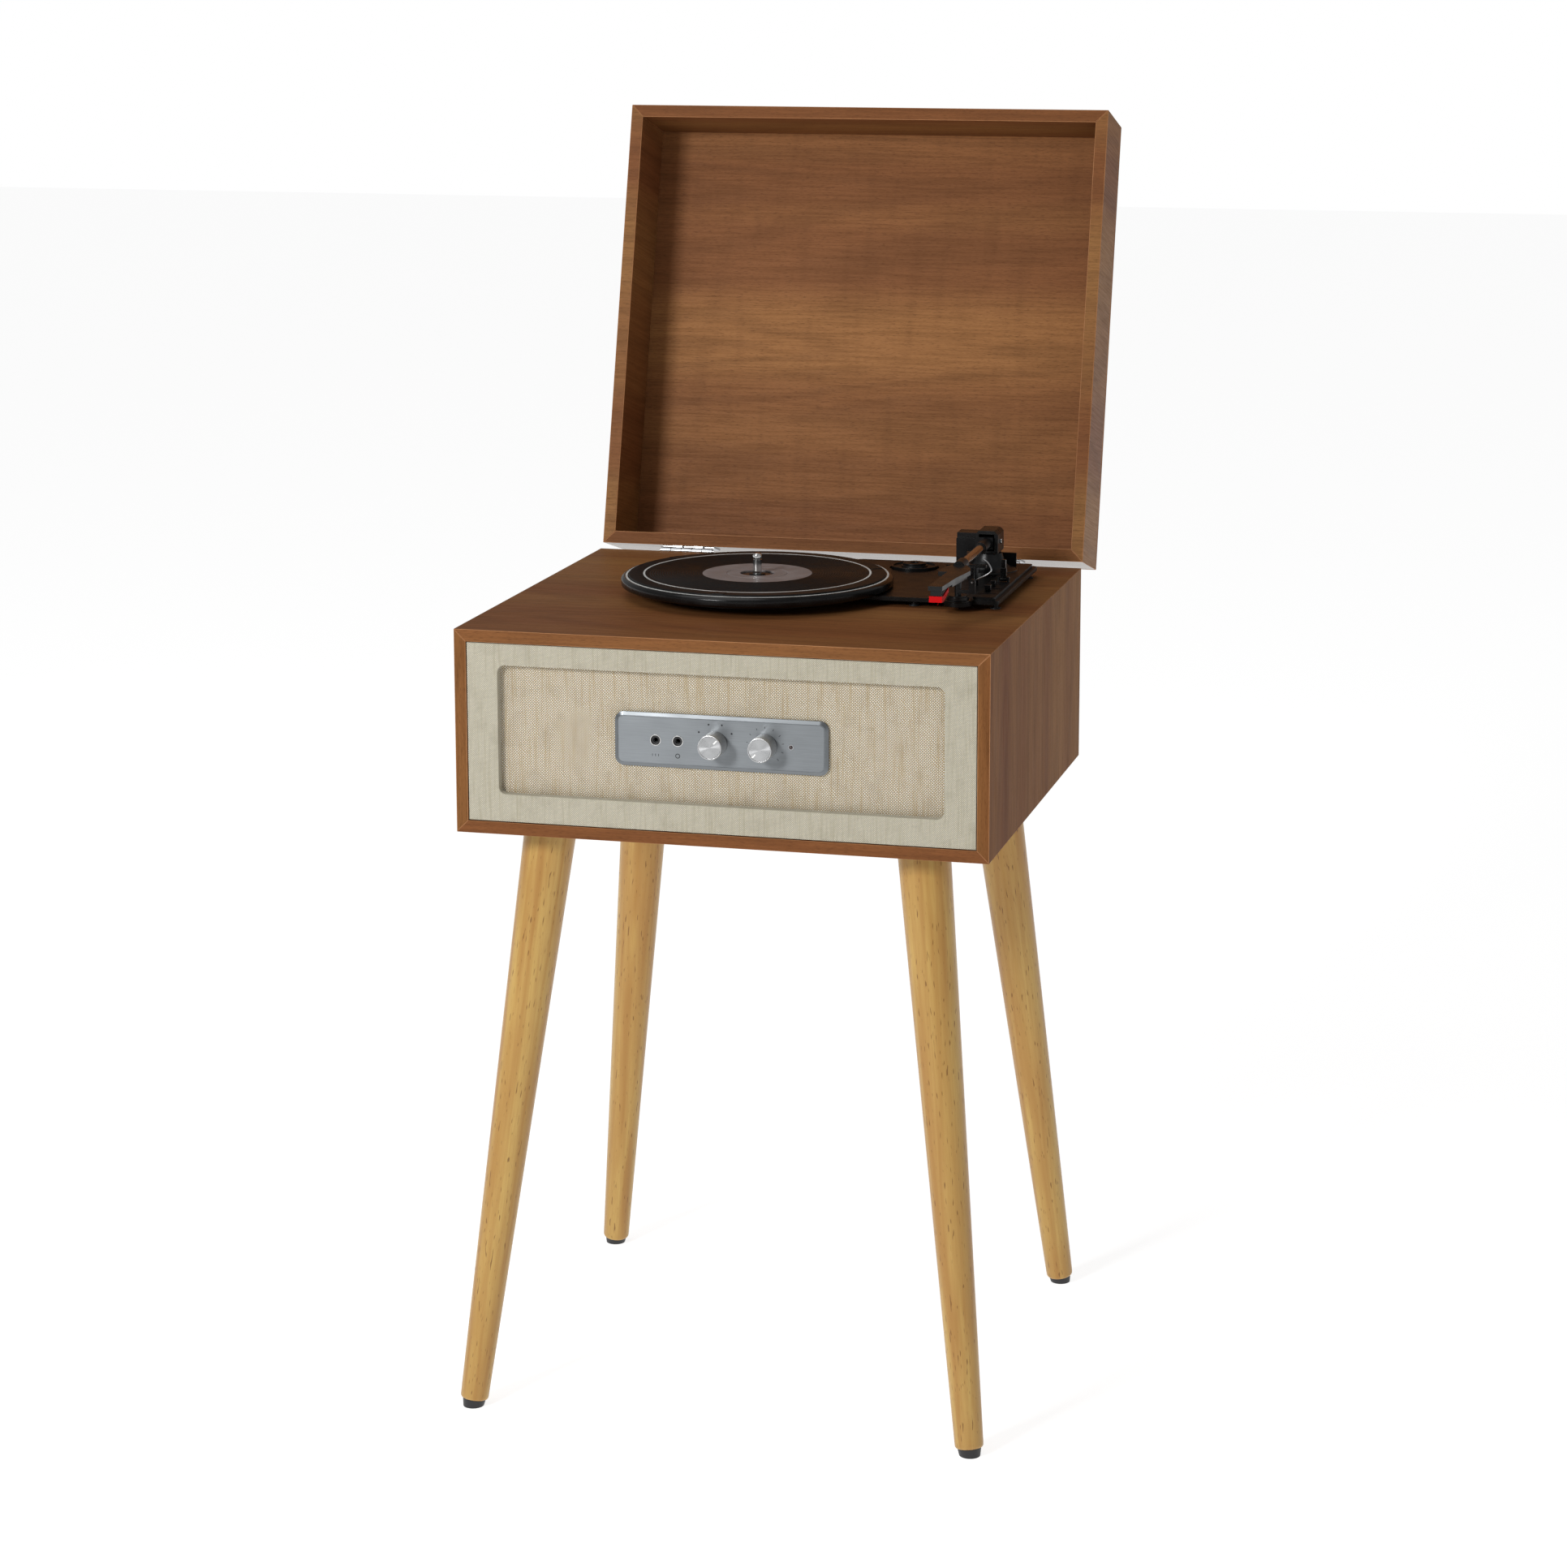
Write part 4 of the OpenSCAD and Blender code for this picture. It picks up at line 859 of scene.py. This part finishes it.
class CONSOLE_OT_platter(ConsoleOperator, bpy.types.Operator):
    """Platter with its rubber mat, silver rings, label and spindle"""
    bl_idname = "console.platter"
    bl_label = "Platter"

    def build(self, made, sizes):
        body = "turning_platter"
        centre = Matrix.Translation(on_top(*PLATTER))
        rim = lathe([(3.0, 13.2), (3.0, 16.8), (104.5, 16.8), (106.9, 16.75), (107.7, 16.4),
                     (109.0, 15.1), (109.5, 14.2), (109.5, 10.4), (109.1, 9.6),
                     (108.3, 9.0), (106.4, 9.0), (106.2, 9.4), (106.2, 13.2), (78, 13.2),
                     (78, 9.4), (75.5, 9.4), (75.5, 13.2), (3.0, 13.2)], centre, 192)
        piece("platter_moulded", rim, made["gloss"], body, ("platter",))

        step = sizes.mat_groove / MM
        profile = [(44.3, 16.8), (44.3, 18.0), (44.8, 18.2)]
        radius = 46.0
        while radius < 88:
            profile += [(radius, 18.2), (radius + 0.25 * step, 17.85),
                        (radius + 0.5 * step, 17.85), (radius + 0.75 * step, 18.2)]
            radius += step
        profile += [(102.9, 18.2), (103.5, 17.9), (103.6, 17.3), (103.6, 16.8)]
        tabs = []
        for turn in (27, 147, 267):
            tabs.append(block(9.5, 11, 1.8, centre @ Matrix.Rotation(
                math.radians(turn), 4, "Z") @ Matrix.Translation((97.75 * MM, 0, 16.8 * MM)),
                corner=1.2, ease=0.3))
        piece("platter_mat_ribbed", [lathe(profile, centre, 192)] + tabs, made["rubber"],
              body, ("platter_mat",), angle=50)

        rings = []
        for inner, outer, top in ((90.2, 91.8, 18.34), (104.3, 105.9, 16.98)):
            rings.append(lathe([(inner, top - 0.25), (inner, top), (outer, top),
                                (outer, top - 0.25)], centre, 192))
        # the inner ring is broken beside the front tab
        gap = [v for v in rings[0].verts
               if abs((v.co - centre.translation).angle(Vector((-0.05, -1, 0)))) < 0.06]
        bmesh.ops.delete(rings[0], geom=gap, context="VERTS")
        piece("platter_rings", rings, made["silver"], body)

        label = lathe([(13.7, 16.8), (13.7, 17.8), (13.9, 18.0), (23.7, 18.0), (24.0, 17.7),
                       (24.5, 17.7), (24.8, 18.0), (44.0, 18.0), (44.1, 17.8),
                       (44.1, 16.8)], centre, 128)
        piece("mat_label_printed", label, made["label"], body, ("mat_label",))
        hub = lathe([(3.4, 16.8), (3.4, 17.6), (6.0, 17.6), (6.4, 17.3), (6.4, 16.8)],
                    centre, 64)
        piece("platter_hub", hub, made["deck"], body)
        pin = lathe([(0, -15), (3.0, -15), (3.0, 16.8), (3.58, 16.8), (3.58, 29.0),
                     (3.1, 29.3), (3.1, 30.3), (3.58, 30.6), (3.58, 32.3), (3.3, 33.2),
                     (2.6, 33.9), (1.4, 34.3), (0, 34.4)], centre, 64)
        piece("spindle_turned", pin, made["chrome"], body, ("spindle",))


def on_arm(x, along, z):
    """Matrix of a place on the parked tonearm, in mm from its pivot."""
    pivot = Matrix.Translation(on_top(*ARM))
    return pivot @ Matrix.Rotation(math.radians(ARM_TURN), 4, "Z") @ Matrix.Translation(
        (x * MM, along * MM, z * MM))


class CONSOLE_OT_tonearm(ConsoleOperator, bpy.types.Operator):
    """Tonearm with its base, yoke, tube, headshell, cartridge, stylus, rest and latch"""
    bl_idname = "console.tonearm"
    bl_label = "Tonearm"

    def build(self, made, sizes):
        base = Matrix.Translation(on_top(ARM[0], ARM[1]))
        ring = painted(lathe([(22.6, 10.9), (23.0, 11.4), (24.0, 11.2), (24.6, 10.2),
                              (24.6, 8.4), (24.0, 8.4)], base), 1)
        eased("arm_base_moulded", "arm_base", [made["arm"], made["gloss"]], "arm_plastic",
              width=0.5, segments=3, fold=40, extra=[ring])
        rest = Matrix.Translation(on_top(*REST))
        ring = painted(lathe([(9.0, 8.4), (9.0, 9.2), (9.6, 9.6), (10.4, 9.2), (10.4, 8.4)],
                             rest), 1)
        eased("arm_rest_moulded", "arm_rest", [made["arm"], made["gloss"]], "arm_plastic",
              width=0.35, extra=[ring])
        screws = [lathe([(0, 0.5), (1.9, 0.5), (2.2, 0.2), (2.2, -0.5), (0, -0.5)],
                        on_arm(side * 10.4, 0, 0)
                        @ Matrix.Rotation(math.radians(side * 90), 4, "Y"), 32)
                  for side in (-1, 1)]
        slots = [block(3.2, 0.5, 0.15, on_arm(side * 10.9, 0, 0)
                       @ Matrix.Rotation(math.radians(side * 90), 4, "Y"))
                 for side in (-1, 1)]
        piece("arm_pivot_screws", screws + [painted(s, 1) for s in slots],
              [made["chrome"], made["socket"]], "arm_swing")
        eased_each(made, (
            ("arm_yoke", "moulded", "arm", "arm_plastic", "arm_swing", 0.6, 3),
            ("arm_carrier", "moulded", "arm", "arm_plastic", "arm_lift", 0.5, 3),
            ("arm_tube", "drawn", "tube", "arm_metal", "arm_lift", 0.15),
            ("headshell", "moulded", "arm", "arm_plastic", "arm_lift", 0.6, 3),
            ("cartridge", "moulded", "gloss", "arm_plastic", "arm_lift", 0.5, 3),
            ("stylus", "moulded", "stylus", "stylus_red", "arm_lift", 0.12)))
        latch = Matrix.Translation(on_top(*LATCH)) @ Matrix.Rotation(
            math.radians(LATCH_OPEN), 4, "Y")
        route = [(0, 3, 0), (0, -3.1, 0), (0, -2.9, 1.5), (0, -2.2, 3.5), (0.6, -2.2, 11),
                 (0, -2.2, 16.2), (-1.6, -2.2, 17.8), (-5, -2.2, 18.1), (-9, -2.2, 17.6),
                 (-11.5, -2.2, 16.2)]
        wire_piece = rod(route, 0.62, latch @ Matrix.Diagonal((1, -1, 1, 1)))
        piece("rest_clip_wire", wire_piece, made["zinc"], "rest_clip", ("rest_clip",),
              angle=60)
        eased_each(made, (
            ("cue_lever", "moulded", "gloss", "arm_plastic", "cue_lever", 0.4),
            ("cue_lift", "moulded", "arm", "arm_plastic", "cue_lift", 0.4),
            ("speed_selector", "moulded", "gloss", "deck_plastic", "speed_selector", 0.4),
            ("auto_stop_switch", "moulded", "gloss", "deck_plastic", "auto_stop_switch",
             0.4)))


# ---------------------------------------------------------------- back and inside

class CONSOLE_OT_hinges(ConsoleOperator, bpy.types.Operator):
    """Two steel hinges with their screws"""
    bl_idname = "console.hinges"
    bl_label = "Hinges"

    def build(self, made, sizes):
        eased_each(made, (
            ("cabinet_hinge_leaves", "pressed", "zinc", "plated_steel", "console", 0.2),
            ("lid_hinge_leaves", "pressed", "zinc", "plated_steel", "lid", 0.2),
            ("hinge_pins", "drawn", "chrome", "plated_steel", "console", 0.2)))
        hinge = on_top(0, HINGE_Y)
        opened = (Matrix.Translation(hinge) @ Matrix.Rotation(math.radians(-LID_OPEN), 4, "X")
                  @ Matrix.Translation(-hinge))
        head = [(0, 0.9), (1.2, 0.9), (1.5, 1.2), (3.1, 1.0), (3.6, 0.4), (3.6, 0)]
        turned = Matrix.Rotation(math.radians(-90), 4, "X")
        fixed, moving = [], []
        for hinge_x in HINGES:
            for x in (-15, 0, 15):
                at = Matrix.Translation(on_top(hinge_x + x, HINGE_SCREW_Y, -14)) @ turned
                fixed.append(lathe(head, at, 24))
                at = Matrix.Translation(on_top(hinge_x + x, HINGE_SCREW_Y, 14)) @ turned
                moving.append(lathe(head, opened @ at, 24))
        piece("cabinet_hinge_screws", fixed, made["zinc"])
        piece("lid_hinge_screws", moving, made["zinc"], "lid")


class CONSOLE_OT_back(ConsoleOperator, bpy.types.Operator):
    """Back panel, its screws, the line outputs and the mains adaptor socket"""
    bl_idname = "console.back"
    bl_label = "Back"

    def build(self, made, sizes):
        eased_each(made, (
            ("back_panel", "board", "fibreboard", "back_board", "console", 0.3),
            ("back_screws", "turned", "steel", "plated_steel", "console", 0.5, 3),
            ("rca_outputs", "moulded", "socket", "socket_plastic", "console", 0.3),
            ("dc_inlet", "moulded", "socket", "socket_plastic", "console", 0.3)))


class CONSOLE_OT_inside(ConsoleOperator, bpy.types.Operator):
    """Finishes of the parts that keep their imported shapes"""
    bl_idname = "console.inside"
    bl_label = "Inner parts"

    def build(self, made, sizes):
        for node, finish_name in {
                "speaker_baffle": "particle", "source_switch": "zinc",
                "volume_control": "zinc", "amplifier_board": "circuit",
                "speaker_frames": "steel", "speaker_cones": "cone", "leg_bolts": "zinc",
                "spindle_bearing": "brass", "motor": "zinc", "drive_belt": "belt",
                "motor_pulley": "brass"}.items():
            for material_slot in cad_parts[node].material_slots:
                material_slot.material = made[finish_name]


# ---------------------------------------------------------------- stage

class CONSOLE_OT_stage(ConsoleOperator, bpy.types.Operator):
    """Pale floor, soft light and the camera"""
    bl_idname = "console.stage"
    bl_label = "Stage"

    def execute(self, context):
        scene = context.scene
        bm = bmesh.new()
        bmesh.ops.create_grid(bm, x_segments=1, y_segments=1, size=12)
        mesh = bpy.data.meshes.new("floor")
        bm.to_mesh(mesh)
        bm.free()
        # seamless paper, lit from below so that shadows on it stay faint
        paper, tree, shader = finish("white_paper_floor", Roughness=0.9,
                                     Specular_IOR_Level=0.1, Emission_Strength=0.84)
        shader.inputs["Base Color"].default_value = linear("#B8B8B8")
        shader.inputs["Emission Color"].default_value = linear("#FFFFFF")
        mesh.materials.append(paper)
        floor = bpy.data.objects.new("floor", mesh)
        scene.collection.objects.link(floor)

        world = bpy.data.worlds.new("studio")
        scene.world = world
        world.use_nodes = True
        sky = world.node_tree
        glow = add(sky, "ShaderNodeBackground", {}, {"Color": linear("#FFFFFF"),
                                                     "Strength": 0.24})
        wall = add(sky, "ShaderNodeBackground", {}, {"Color": linear("#FFFFFF"),
                                                     "Strength": 1.0})
        seen = add(sky, "ShaderNodeLightPath").outputs["Is Camera Ray"]
        mixed = add(sky, "ShaderNodeMixShader", {}, {0: seen, 1: glow, 2: wall})
        wire(sky, sky.nodes["World Output"], {"Surface": mixed})

        target = Vector((0, 0, 0.55))
        for name, toward, distance, size, power in (
                ("key", (-0.38, -0.84, 0.39), 2.7, 0.55, 37),
                ("fill", (0.9, -0.5, 0.35), 4.0, 2.5, 4),
                ("top", (-0.3, -0.2, 1.0), 3.0, 2.0, 18)):
            lamp = bpy.data.lights.new(name, "AREA")
            lamp.size = size
            lamp.energy = power
            light = bpy.data.objects.new(name, lamp)
            light.location = target + Vector(toward).normalized() * distance
            light.rotation_euler = Vector(toward).to_track_quat("Z", "Y").to_euler()
            scene.collection.objects.link(light)

        view = bpy.data.cameras.new("camera")
        view.lens = 87.07
        view.sensor_width = 36
        view.shift_x, view.shift_y = 0.0054, -0.1136
        view.clip_end = 50
        camera = bpy.data.objects.new("camera", view)
        camera.matrix_world = (
            Matrix.Translation((0.748045, -2.973911, 1.167976))
            @ Matrix.Rotation(math.radians(14.567), 4, "Z")
            @ Matrix.Rotation(math.radians(90 - 10.417), 4, "X")
            @ Matrix.Rotation(-0.0019, 4, "Z"))
        scene.collection.objects.link(camera)
        scene.camera = camera
        scene.view_settings.view_transform = "Standard"
        return {"FINISHED"}


OPERATORS = (CONSOLE_OT_stage, CONSOLE_OT_cabinet, CONSOLE_OT_lid, CONSOLE_OT_legs,
             CONSOLE_OT_grille, CONSOLE_OT_control_plate, CONSOLE_OT_knobs, CONSOLE_OT_deck,
             CONSOLE_OT_platter, CONSOLE_OT_tonearm, CONSOLE_OT_hinges, CONSOLE_OT_back,
             CONSOLE_OT_inside)


class CONSOLE_PT_panel(bpy.types.Panel):
    """Lists the settings and the steps that build the console"""
    bl_idname = "CONSOLE_PT_panel"
    bl_label = "Record player console"
    bl_space_type = "VIEW_3D"
    bl_region_type = "UI"
    bl_category = "Console"

    def draw(self, context):
        for group in (context.scene.console_sizes, context.scene.console_colours):
            box = self.layout.box()
            for name in group.__annotations__:
                box.prop(group, name)
        for operator in OPERATORS:
            self.layout.operator(operator.bl_idname)


CLASSES = (ConsoleColours, ConsoleSizes, *OPERATORS, CONSOLE_PT_panel)


def register():
    for entry in CLASSES:
        bpy.utils.register_class(entry)
    bpy.types.Scene.console_colours = PointerProperty(type=ConsoleColours)
    bpy.types.Scene.console_sizes = PointerProperty(type=ConsoleSizes)


def unregister():
    del bpy.types.Scene.console_sizes
    del bpy.types.Scene.console_colours
    for entry in reversed(CLASSES):
        bpy.utils.unregister_class(entry)


def main():
    register()
    for operator in OPERATORS:
        group, name = operator.bl_idname.split(".")
        getattr(getattr(bpy.ops, group), name)()


if __name__ == "__main__":
    main()
